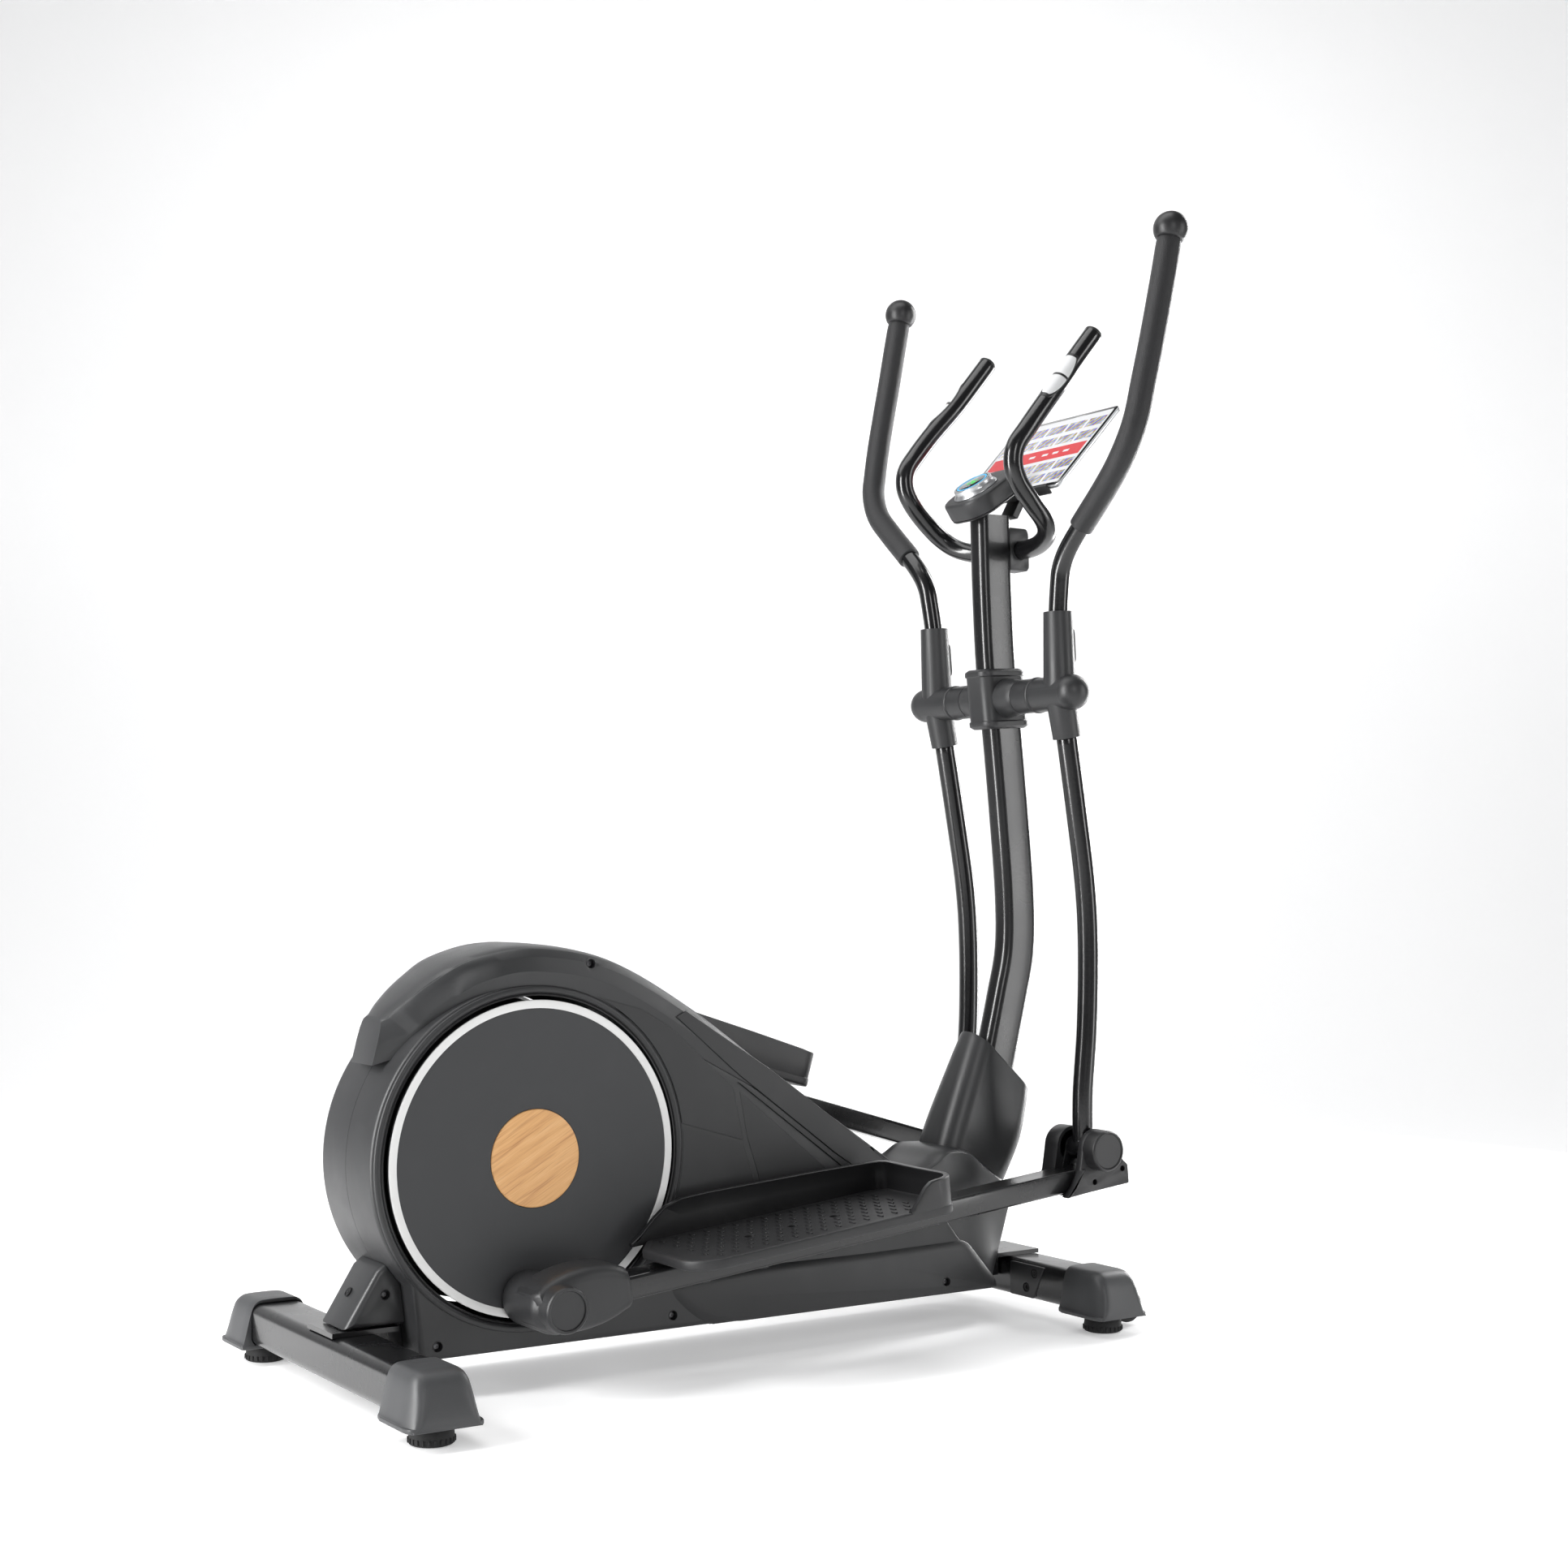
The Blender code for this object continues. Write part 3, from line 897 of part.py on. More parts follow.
def build_boss(side, pivot, pin):
    """Moulded cover round the crank pin's bearing, with a round end cap."""
    sign = SIDES[side]
    start, shoulder = BOSS_START_Y, BOSS_END_Y - 0.024
    turned = lathe([(0, sign * start), (BOSS_RADIUS - 0.003, sign * start), (BOSS_RADIUS, sign * (start + 0.003)),
                    (BOSS_RADIUS, sign * (shoulder - 0.004)), (BOSS_CAP_RADIUS + 0.001, sign * shoulder),
                    (BOSS_CAP_RADIUS, sign * (BOSS_END_Y - 0.003)), (BOSS_CAP_RADIUS - 0.003, sign * BOSS_END_Y),
                    (0, sign * BOSS_END_Y)], 20)
    turned.transform(Matrix.Translation(pin))
    boss = piece(f"{side}_crank_boss", turned, "charcoal_plastic", pivot)
    shape = [(-0.022, 0.020), (0.0, 0.0335), (0.030, 0.0405), (0.060, 0.0400), (0.088, 0.0345), (0.1000, 0.0240),
             (0.1020, -0.0120), (0.088, -0.0270), (0.060, -0.0350), (0.0, -0.0335), (-0.022, -0.018)]
    outline = [(pin.x + x, pin.z + z) for x, z in shape]
    fuse(boss, prism(outline, [(0.113, 0.004), (0.117, 0), (0.174, 0), (0.181, 0.004), (0.1835, 0.010)], sign))
    arm_y = sign * ARM_Y
    height, width = BAR_HALF_HEIGHT + GAP, BAR_HALF_WIDTH + GAP
    cut(boss, rod(pin + Vector((0, sign * (start - 0.01), 0)), pin + Vector((0, arm_y, 0)), PIN_RADIUS + 0.001))
    return cut(boss, rod(pin + Vector((0, arm_y - sign * (0.030 + GAP), 0)),
                         pin + Vector((0, arm_y + sign * (0.030 + GAP), 0)), 0.022 + GAP),
               box((pin.x, pin.x + 0.15), (arm_y - width, arm_y + width), (pin.z - height, pin.z + height)))


def build_pivot_cover(side, pivot):
    """Moulded cheeks on both sides of the lower pivot, joined under the bar."""
    sign = SIDES[side]
    floor = -BAR_DROP - BAR_HALF_HEIGHT - GAP
    outline = ([(-0.066, floor - 0.003), (-0.052, -0.046), (-0.036, -0.026)] + arc((0, 0), 0.0290, 170, 0, 8)
               + [(0.045, -0.022), (0.053, -0.030), (0.0525, floor - 0.003)])
    inner_y, outer_y = ARM_Y - BAR_HALF_WIDTH - GAP, ARM_Y + BAR_HALF_WIDTH + GAP
    cover = piece(f"{side}_pivot_cover", prism(outline, [(outer_y, 0), (outer_y + 0.009, 0), (outer_y + 0.011, 0.002)],
                                               sign), "black_plastic", pivot)
    round_cap = lathe([(0, sign * outer_y), (0.0285, sign * outer_y), (0.0285, sign * 0.1975),
                       (0.0260, sign * 0.2000), (0.0240, sign * 0.2000), (0.0235, sign * 0.1993),
                       (0, sign * 0.1993)], 20)
    return fuse(cover, round_cap,
                prism(outline, [(0.092, 0.003), (0.095, 0), (inner_y, 0)], sign),
                box((-0.058, 0.0520), sorted((sign * 0.100, sign * 0.175)), (floor - 0.003, floor)))


def build_tray(side, pivot):
    """Foot tray: tread, shallow edge, high inner rim and a toe stop round the outer corner."""
    sign = SIDES[side]
    top = -BAR_DROP + BAR_HALF_HEIGHT + TRAY_RISE
    rear, front, inner, outer = TRAY_REAR, TRAY_FRONT, TRAY_INNER_Y, TRAY_OUTER_Y
    outline = ([(rear + 0.030, inner), (front - 0.020, inner)]
               + arc((front - 0.020, inner + 0.020), 0.020, -90, 0, 4)[1:]
               + arc((front - 0.034, outer - 0.034), 0.034, 0, 90, 6)
               + arc((rear + 0.045, outer - 0.045), 0.045, 90, 180, 6)
               + [(rear, inner + 0.040)])
    if sign < 0:
        outline = [(x, -y) for x, y in reversed(outline)]
    tray = piece(f"{side}_foot_tray", slab(outline, [(top - TRAY_SKIRT, 0.001), (top - 0.003, 0), (top - 0.0008, 0.0012),
                                                     (top, 0.0035)]), "black_plastic", pivot)
    cut(tray, slab(outline, [(top - TRAY_SKIRT - 0.01, 0.004), (top - 0.005, 0.004)]))
    path = ([(rear + 0.006, inner + 0.002, 0.004), (rear + 0.050, inner + 0.002, 0.036),
             (rear + 0.080, inner + 0.002, RIM_HEIGHT), (front - 0.030, inner + 0.002, TOE_HEIGHT + 0.002)]
            + [(x, y, TOE_HEIGHT) for x, y in arc((front - 0.022, inner + 0.022), 0.020, -90, 0, 4)[1:]]
            + [(x, y, TOE_HEIGHT) for x, y in arc((front - 0.036, outer - 0.036), 0.034, 0, 90, 6)]
            + [(front - 0.056, outer - 0.002, 0.026), (front - 0.080, outer - 0.002, 0.002)])
    spine = [Vector((x, sign * y, 0)) for x, y, height in path]
    rings = []
    for i, (point, (x, y, height)) in enumerate(zip(spine, path)):
        ahead = (spine[min(i + 1, len(spine) - 1)] - spine[max(i - 1, 0)]).normalized()
        across = Vector((-ahead.y, ahead.x, 0)) * sign * RIM_THICKNESS
        rings.append([point + Vector((0, 0, top - 0.004)), point + across + Vector((0, 0, top - 0.004)),
                      point + across + Vector((0, 0, top + height)), point + Vector((0, 0, top + height))])
    posts = [rod((x, sign * ARM_Y, -BAR_DROP + BAR_HALF_HEIGHT + GAP), (x, sign * ARM_Y, top - 0.002), 0.010, 8)
             for x in (rear + 0.072, (rear + front) / 2, front - 0.072)]
    return fuse(tray, skin_rings(rings), *posts)


# ---------------------------------------------------------------- assembly
def centre_on_floor(machine):
    """Slide the machine so that the origin is the middle of its footprint."""
    bpy.context.view_layer.update()
    depsgraph = bpy.context.evaluated_depsgraph_get()
    low, high = 1e9, -1e9
    for item in bpy.context.collection.objects:
        if item.type == "MESH" and not item.hide_render:
            shown = item.evaluated_get(depsgraph)
            across = [(shown.matrix_world @ vertex.co).x for vertex in shown.data.vertices]
            low, high = min(low, *across), max(high, *across)
    machine.location.x = -(low + high) / 2


def main():
    for item in list(bpy.data.objects):
        bpy.data.objects.remove(item, do_unlink=True)
    machine = empty("machine")
    build_main_frame(machine)
    for end, centre_x, depth, foot_y in (("rear", REAR_X, REAR_DEPTH, REAR_FOOT_Y),
                                         ("front", FRONT_X, FRONT_DEPTH, FRONT_FOOT_Y)):
        build_stabilizer(f"{end}_stabilizer", centre_x, depth, foot_y, machine)
        for side in SIDES:
            build_end_cap(end, side, centre_x, depth, foot_y, machine)
            build_foot(end, side, centre_x, foot_y, machine)
    for side in SIDES:
        build_wheel(side, machine)
        build_side_cover(side, machine)
        build_pulse_sensor(side, machine)
        build_arm(side, machine)
        build_bar(side, machine)
    build_top_cover(machine)
    build_neck_cover(machine)
    build_mast_boots(machine)
    build_mast(machine)
    build_collar(machine)
    build_cross_axle(machine)
    build_handlebar(machine)
    build_clamp(machine)
    build_console(machine)
    build_dial(machine)
    build_tablet_rest(machine)
    build_tablet(machine)
    build_crank(machine)
    build_flywheel(machine)
    build_belt(machine)
    build_magnets(machine)
    centre_on_floor(machine)


main()
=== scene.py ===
"""Looks of the front-linkage elliptical trainer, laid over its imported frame.

Lengths are metres.  Outlines are written about the crank's centre line, +X towards the mast,
+Z up, and are moved into the frame by MACHINE.  Every piece ends with its place in its mesh.
"""

import json
import math

import bmesh
import bpy
import numpy as np
from mathutils import Matrix, Vector


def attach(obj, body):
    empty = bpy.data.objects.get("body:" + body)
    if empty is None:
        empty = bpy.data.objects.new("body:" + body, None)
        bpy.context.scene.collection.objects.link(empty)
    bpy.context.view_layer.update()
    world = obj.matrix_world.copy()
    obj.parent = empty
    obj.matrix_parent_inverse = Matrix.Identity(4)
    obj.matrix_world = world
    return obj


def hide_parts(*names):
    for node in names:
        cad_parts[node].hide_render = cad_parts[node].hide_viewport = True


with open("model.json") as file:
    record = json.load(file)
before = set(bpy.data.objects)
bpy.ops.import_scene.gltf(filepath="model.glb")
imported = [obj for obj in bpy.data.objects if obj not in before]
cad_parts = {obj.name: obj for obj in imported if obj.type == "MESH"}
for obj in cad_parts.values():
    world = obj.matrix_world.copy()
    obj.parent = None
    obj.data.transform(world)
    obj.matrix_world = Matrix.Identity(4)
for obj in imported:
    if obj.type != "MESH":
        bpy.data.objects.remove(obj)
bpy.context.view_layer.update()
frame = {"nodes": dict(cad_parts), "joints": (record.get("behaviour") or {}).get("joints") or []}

# ---------------------------------------------------------------- places taken from the frame
JOINT_AT = {joint["name"]: joint.get("pos_m", (0, 0, 0)) for joint in frame["joints"]}
CRANK = Vector(JOINT_AT["crank_spin"])
MACHINE = Matrix.Translation((CRANK.x, 0, 0))
ROCKER = Vector(JOINT_AT["right_swing"]) - Vector((CRANK.x, 0, 0))
CRANK_Z = CRANK.z
SIDES = {"right": -1, "left": 1}
GAP = 0.0003
ARM_Y = 0.1445
BAR_LENGTH, BAR_DROP = 0.8702, 0.0389


def lower_pivot(side):
    return Vector(JOINT_AT[f"{side}_bar_pivot"]) - Vector((CRANK.x, 0, 0))


def crank_pin(side):
    """The crank pin's centre, from the disc's throw and the angle it rests at."""
    angle = math.radians(5.06)
    return Vector((SIDES[side] * 0.170 * math.sin(angle), 0, CRANK_Z + SIDES[side] * 0.170 * math.cos(angle)))


def arm_place(side):
    """The frame of a swing arm: its origin on the crossbar, the lower pivot straight below."""
    low = lower_pivot(side)
    tilt = -math.atan2(low.x - ROCKER.x, ROCKER.z - low.z)
    return MACHINE @ Matrix.Translation((ROCKER.x, 0, ROCKER.z)) @ Matrix.Rotation(tilt, 4, "Y")


def bar_place(side):
    """The frame of a pedal bar: its origin on the lower pivot, the bar level."""
    low, pin = lower_pivot(side), crank_pin(side)
    tilt = -(math.atan2(low.z - pin.z, low.x - pin.x) - math.atan2(BAR_DROP, BAR_LENGTH))
    return MACHINE @ Matrix.Translation((low.x, 0, low.z)) @ Matrix.Rotation(tilt, 4, "Y")


# ---------------------------------------------------------------- outlines and curves
def arc(centre, radius, start, end, count):
    angles = np.radians(np.linspace(start, end, count))
    return [(centre[0] + radius * math.cos(a), centre[1] + radius * math.sin(a)) for a in angles]


def circle(radius, count=40):
    return [(radius * math.cos(math.tau * i / count), radius * math.sin(math.tau * i / count))
            for i in range(count)]


def rounded_rectangle(width, height, corner, steps=8):
    x, y = width / 2 - corner, height / 2 - corner
    points = []
    for centre, start in (((x, y), 0), ((-x, y), 90), ((-x, -y), 180), ((x, -y), 270)):
        points += arc(centre, corner, start, start + 90, steps + 1)
    return points


def inset(outline, distance):
    """Outline of the same count, moved inwards by a distance (outwards if negative)."""
    points = [Vector(p) for p in outline]
    area = sum(a.x * b.y - b.x * a.y for a, b in zip(points, points[1:] + points[:1]))
    turn = 1.0 if area > 0 else -1.0
    moved = []
    for i, point in enumerate(points):
        before = (point - points[i - 1]).normalized()
        after = (points[(i + 1) % len(points)] - point).normalized()
        bisector = Vector((-(before.y + after.y), before.x + after.x)) * turn
        bisector.normalize()
        spread = max(0.35, bisector.dot(Vector((-before.y, before.x)) * turn))
        moved.append(tuple(point + bisector * distance / spread))
    return moved


def rounded(outline, radius, steps=5):
    """Outline with its corners turned into arcs."""
    points, done = [Vector(p) for p in outline], []
    for i, point in enumerate(points):
        back, ahead = points[i - 1] - point, points[(i + 1) % len(points)] - point
        reach = min(radius, back.length * 0.45, ahead.length * 0.45)
        start, end = point + back.normalized() * reach, point + ahead.normalized() * reach
        for step in range(steps + 1):
            t = step / steps
            done.append(tuple((1 - t) ** 2 * start + 2 * t * (1 - t) * point + t * t * end))
    return done


def smooth(points, per_span):
    """A Catmull-Rom curve through the points."""
    points = [Vector(p) for p in points]
    ends = [2 * points[0] - points[1]] + points + [2 * points[-1] - points[-2]]
    curve = []
    for i in range(1, len(ends) - 2):
        a, b, c, d = ends[i - 1:i + 3]
        for step in range(per_span):
            t = step / per_span
            curve.append(0.5 * (2 * b + (c - a) * t + (2 * a - 5 * b + 4 * c - d) * t ** 2
                                + (3 * b - a - 3 * c + d) * t ** 3))
    return curve + [points[-1]]


def line_length(points):
    return sum((b - a).length for a, b in zip(points, points[1:]))


def cut_line(points, start, end):
    """The stretch of a curve between two distances along it."""
    travelled, stretch = 0.0, []
    for a, b in zip(points, points[1:]):
        length = (b - a).length
        for mark in (start, end):
            if travelled <= mark < travelled + length:
                stretch.append(a.lerp(b, (mark - travelled) / length))
        if start < travelled + length < end:
            stretch.append(b)
        travelled += length
    return stretch


# ---------------------------------------------------------------- solids
def skin_rings(rings, closed=False):
    """Join rings of equal count into one closed body."""
    mesh = bmesh.new()
    loops = [[mesh.verts.new(p) for p in ring] for ring in rings]
    for low, high in zip(loops, loops[1:] + loops[:1] if closed else loops[1:]):
        for i in range(len(low)):
            j = (i + 1) % len(low)
            mesh.faces.new((low[i], low[j], high[j], high[i]))
    if not closed:
        mesh.faces.new(list(reversed(loops[0])))
        mesh.faces.new(loops[-1])
    bmesh.ops.recalc_face_normals(mesh, faces=mesh.faces)
    return mesh


def sweep(points, section, across=(1, 0, 0), scales=None):
    """A section carried along a curve, its first axis kept near a given direction."""
    rings, count = [], len(points)
    for i, point in enumerate(points):
        ahead = (points[min(i + 1, count - 1)] - points[max(i - 1, 0)]).normalized()
        side = Vector(across) - ahead * ahead.dot(Vector(across))
        side.normalize()
        up = ahead.cross(side)
        scale = scales[i] if scales else 1.0
        rings.append([point + (side * u + up * v) * scale for u, v in section])
    return skin_rings(rings)


def lathe(profile, count=96):
    """Turn a closed profile of (radius, distance along Y) about the Y axis."""
    mesh = bmesh.new()
    rings = []
    for radius, along in profile:
        if radius < 1e-6:
            rings.append([mesh.verts.new((0, along, 0))])
        else:
            rings.append([mesh.verts.new((radius * math.cos(math.tau * i / count), along,
                                          radius * math.sin(math.tau * i / count)))
                          for i in range(count)])
    for low, high in zip(rings, rings[1:] + rings[:1]):
        if len(low) == 1 and len(high) == 1:
            continue
        for i in range(count):
            j = (i + 1) % count
            corners = [low[i % len(low)], low[j % len(low)], high[j % len(high)], high[i % len(high)]]
            mesh.faces.new(list(dict.fromkeys(corners)))
    bmesh.ops.recalc_face_normals(mesh, faces=mesh.faces)
    return mesh


def prism(outline, levels, side=1):
    """An X-Z outline drawn out along Y; each level is (Y, inset)."""
    return skin_rings([[Vector((x, side * y, z)) for x, z in inset(outline, depth)] for y, depth in levels])


def slab(outline, levels):
    """An X-Y outline drawn up along Z; each level is (Z, inset)."""
    return skin_rings([[Vector((x, y, z)) for x, y in inset(outline, depth)] for z, depth in levels])


def box(x, y, z):
    return skin_rings([[Vector((x[0], y[0], h)), Vector((x[1], y[0], h)),
                        Vector((x[1], y[1], h)), Vector((x[0], y[1], h))] for h in z])


def rod(start, end, radius, count=40, end_radius=None):
    start, end = Vector(start), Vector(end)
    ahead = (end - start).normalized()
    across = (1, 0, 0) if abs(ahead.x) < 0.7 else (0, 1, 0)
    return sweep([start, end], circle(radius, count), across, (1.0, (end_radius or radius) / radius))


def moved(mesh, offset):
    bmesh.ops.translate(mesh, verts=mesh.verts, vec=offset)
    return mesh


# ---------------------------------------------------------------- making pieces
def loose_object(name, mesh):
    data = bpy.data.meshes.new(name)
    mesh.to_mesh(data)
    mesh.free()
    item = bpy.data.objects.new(name, data)
    bpy.context.collection.objects.link(item)
    return item


def baked_mesh(item):
    """The object's mesh with its modifiers applied; the object itself is removed."""
    bpy.context.view_layer.update()
    data = bpy.data.meshes.new_from_object(item.evaluated_get(bpy.context.evaluated_depsgraph_get()))
    bpy.data.objects.remove(item)
    return data


def place_piece(name, data, material, body, nodes=(), place=MACHINE, sharp=38):
    """Put a finished mesh in the frame, on its body, standing for its CAD nodes."""
    data.transform(place)
    data.name = name
    if material:
        data.materials.clear()
        data.materials.append(material)
    data.shade_smooth()
    data.set_sharp_from_angle(angle=math.radians(sharp))
    item = bpy.data.objects.new(name, data)
    bpy.context.collection.objects.link(item)
    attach(item, body)
    if nodes:
        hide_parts(*nodes)
    return item


def make(name, mesh, finish, body, *nodes, place=MACHINE, joins=(), cuts=(), bevel=0.0, steps=3,
         angle=30, sharp=38):
    """A piece from a solid, others joined to it or cut from it, and its edges rounded."""
    item = loose_object(name, mesh)
    helpers = []
    for operation, others in (("UNION", joins), ("DIFFERENCE", cuts)):
        for other in others:
            helper = loose_object(name + "_tool", other)
            helpers.append(helper)
            change = item.modifiers.new(operation.lower(), "BOOLEAN")
            change.operation = operation
            change.solver = "EXACT"
            change.object = helper
    if bevel:
        edge = item.modifiers.new("edge", "BEVEL")
        edge.width = bevel
        edge.segments = steps
        edge.limit_method = "ANGLE"
        edge.angle_limit = math.radians(angle)
        edge.use_clamp_overlap = True
        edge.miter_outer = "MITER_ARC"
    data = baked_mesh(item)
    for helper in helpers:
        bpy.data.objects.remove(helper)
    material, slot = FINISHES[finish]
    return place_piece(name, data, material, body, nodes, place, sharp)


# ---------------------------------------------------------------- repeated details
def repeater(name, shape, sizes):
    """Node tree that sets one small solid on every point of a cloud."""
    tree = bpy.data.node_groups.new(name, "GeometryNodeTree")
    tree.interface.new_socket("Points", in_out="INPUT", socket_type="NodeSocketGeometry")
    for label, size in sizes:
        tree.interface.new_socket(label, in_out="INPUT", socket_type="NodeSocketFloat").default_value = size
    tree.interface.new_socket("Finish", in_out="INPUT", socket_type="NodeSocketMaterial")
    tree.interface.new_socket("Solids", in_out="OUTPUT", socket_type="NodeSocketGeometry")
    start, end = tree.nodes.new("NodeGroupInput"), tree.nodes.new("NodeGroupOutput")
    spread = tree.nodes.new("GeometryNodeInstanceOnPoints")
    solid = tree.nodes.new("GeometryNodeMeshCube" if shape == "block" else "GeometryNodeMeshCylinder")
    if shape == "block":
        size = tree.nodes.new("ShaderNodeCombineXYZ")
        for axis, (label, _) in zip("XYZ", sizes):
            tree.links.new(start.outputs[label], size.inputs[axis])
        tree.links.new(size.outputs[0], solid.inputs["Size"])
    else:
        solid.inputs["Vertices"].default_value = 24
        tree.links.new(start.outputs["Radius"], solid.inputs["Radius"])
        tree.links.new(start.outputs["Depth"], solid.inputs["Depth"])
    real, paint = tree.nodes.new("GeometryNodeRealizeInstances"), tree.nodes.new("GeometryNodeSetMaterial")
    tree.links.new(start.outputs["Points"], spread.inputs["Points"])
    tree.links.new(solid.outputs["Mesh"], spread.inputs["Instance"])
    tree.links.new(spread.outputs["Instances"], real.inputs["Geometry"])
    tree.links.new(real.outputs["Geometry"], paint.inputs["Geometry"])
    tree.links.new(start.outputs["Finish"], paint.inputs["Material"])
    tree.links.new(paint.outputs["Geometry"], end.inputs["Solids"])
    return tree


def repeat(name, tree, points, finish, body, sizes=None, place=MACHINE, turn=None, bevel=0.0004):
    """The repeated solid on a list of points, made one plain mesh."""
    cloud = bmesh.new()
    for point in points:
        cloud.verts.new(point)
    item = loose_object(name, cloud)
    grow = item.modifiers.new("repeat", "NODES")
    grow.node_group = tree
    material, slot = FINISHES[finish]
    for socket in tree.interface.items_tree:
        if socket.in_out == "INPUT" and socket.name == "Finish":
            grow[socket.identifier] = material
        elif socket.in_out == "INPUT" and sizes and socket.name in sizes:
            grow[socket.identifier] = sizes[socket.name]
    if bevel:
        edge = item.modifiers.new("edge", "BEVEL")
        edge.width = bevel
        edge.segments = 2
    data = baked_mesh(item)
    if turn:
        data.transform(turn)
    return place_piece(name, data, material, body, (), place, 38)


# ---------------------------------------------------------------- finishes
class Value:
    """A shader socket that takes part in sums written as Python expressions."""

    def __init__(self, tree, socket):
        self.tree, self.socket = tree, socket

    def sum(self, operation, first, second=None):
        node = self.tree.nodes.new("ShaderNodeMath")
        node.operation = operation
        for place, part in zip(node.inputs, (first, second)):
            if isinstance(part, Value):
                self.tree.links.new(part.socket, place)
            elif part is not None:
                place.default_value = part
        return Value(self.tree, node.outputs[0])

    def __add__(self, other):
        return self.sum("ADD", self, other)

    def __radd__(self, other):
        return self.sum("ADD", other, self)

    def __sub__(self, other):
        return self.sum("SUBTRACT", self, other)

    def __mul__(self, other):
        return self.sum("MULTIPLY", self, other)

    def __truediv__(self, other):
        return self.sum("DIVIDE", self, other)

    def apart(self, low, high):
        """0 below low, 1 above high."""
        span = (self - low) / (high - low)
        return self.sum("MINIMUM", self.sum("MAXIMUM", span, 0.0), 1.0)


class Finish:
    """A material built from sums and a few patterns on Object coordinates."""

    def __init__(self, name, **constants):
        self.material = bpy.data.materials.new(name)
        self.material.use_nodes = True
        self.tree = self.material.node_tree
        self.shader = self.tree.nodes["Principled BSDF"]
        self.place = self.node("ShaderNodeTexCoord")["Object"]
        for label, value in constants.items():
            self.shader.inputs[label.replace("_", " ")].default_value = value

    def node(self, kind, settings=None, ramp=None, **links):
        made = self.tree.nodes.new(kind)
        for label, value in (settings or {}).items():
            setattr(made, label, value)
        if ramp:
            stops = made.color_ramp.elements
            for i, (position, colour) in enumerate(ramp):
                stop = stops[i] if i < len(stops) else stops.new(position)
                stop.position, stop.color = position, (*colour, 1.0)
        for label, value in links.items():
            self.join(value, made.inputs[label.replace("_", " ")])
        return {output.name: Value(self.tree, output) for output in made.outputs if output.enabled}

    def join(self, value, socket):
        if isinstance(value, Value):
            self.tree.links.new(value.socket, socket)
        else:
            socket.default_value = value

    def stretched(self, scale, turn=(0, 0, 0)):
        turned = self.node("ShaderNodeMapping", Vector=self.place, Rotation=turn)["Vector"]
        return self.node("ShaderNodeMapping", Vector=turned, Scale=scale)["Vector"]

    def noise(self, scale, detail=3.0, vector=None, roughness=0.55):
        return self.node("ShaderNodeTexNoise", Vector=vector or self.place, Scale=scale, Detail=detail,
                         Roughness=roughness)["Fac"]

    def cells(self, scale, vector=None, output="Distance", feature="F1"):
        return self.node("ShaderNodeTexVoronoi", {"feature": feature}, Vector=vector or self.place,
                         Scale=scale)[output]

    def mix(self, factor, low, high):
        made = self.tree.nodes.new("ShaderNodeMix")
        made.data_type = "RGBA"
        self.join(factor, made.inputs[0])
        self.join(low if isinstance(low, Value) else (*low, 1.0), made.inputs[6])
        self.join(high if isinstance(high, Value) else (*high, 1.0), made.inputs[7])
        return Value(self.tree, made.outputs[2])

    def shades(self, factor, ramp):
        return self.node("ShaderNodeValToRGB", ramp=ramp, Fac=factor)["Color"]

    def bump(self, height, distance, strength=1.0):
        return self.node("ShaderNodeBump", Height=height, Distance=distance, Strength=strength)["Normal"]

    # Sets shader inputs; the painted shade and painted reflection colours pass through here as well.
    def set_inputs(self, **links):
        for label, value in links.items():
            self.join(value, self.shader.inputs[label.replace("_", " ")])
        return self.material


def moulded(name, colour, roughness, grain=2600.0, depth=0.00005, lift=0.25):
    """Moulded plastic: spark-eroded grain, a slight bloom, and rubbed patches that shine more."""
    f = Finish(name, IOR=1.5)
    bloom = f.noise(7.0, 4.0).apart(0.35, 0.7)
    handled = f.noise(23.0, 3.0).apart(0.5, 0.75)
    speck = f.noise(grain, 2.0)
    lighter = tuple(c * (1 + lift) for c in colour)
    tint = f.mix(bloom * 0.6 + speck * 0.25, colour, lighter)
    return f.set_inputs(Base_Color=tint, Roughness=roughness + bloom * 0.07 - handled * 0.05 + speck * 0.05,
                  Normal=f.bump(speck + f.cells(grain * 0.6) * 0.7, depth))


def gloss_paint(name, colour, roughness):
    """Stoved gloss paint: faint orange peel under a clear coat, with fine dust nibs."""
    f = Finish(name, IOR=1.5, Coat_Weight=0.25, Coat_Roughness=0.10)
    peel = f.noise(160.0, 2.0)
    dull = f.noise(11.0, 4.0).apart(0.4, 0.75)
    nibs = f.cells(260.0).apart(0.05, 0.0)
    tint = f.mix(dull, colour, tuple(c * 1.5 for c in colour))
    return f.set_inputs(Base_Color=tint, Roughness=roughness + dull * 0.06,
                  Normal=f.bump(peel + nibs * 0.3, 0.00012))


def foam():
    """Closed-cell foam grip: a soft dark skin pitted with fine cells."""
    f = Finish("foam_skin", IOR=1.45, Sheen_Weight=0.06, Sheen_Roughness=0.5)
    pits = f.cells(1150.0)
    broad = f.noise(60.0, 4.0)
    tint = f.mix(pits.apart(0.1, 0.6) * 0.5 + broad * 0.4, (0.0055, 0.0055, 0.006), (0.014, 0.014, 0.0155))
    return f.set_inputs(Base_Color=tint, Roughness=0.42 + broad * 0.12, Normal=f.bump(pits + broad * 0.6, 0.0003))


def rubber():
    f = Finish("moulded_rubber", IOR=1.5)
    speck = f.noise(900.0, 3.0)
    dust = f.noise(35.0, 4.0).apart(0.5, 0.8)
    return f.set_inputs(Base_Color=f.mix(dust * 0.5, (0.007, 0.007, 0.0075), (0.020, 0.020, 0.019)),
                  Roughness=0.70 + dust * 0.15, Normal=f.bump(speck, 0.0002))


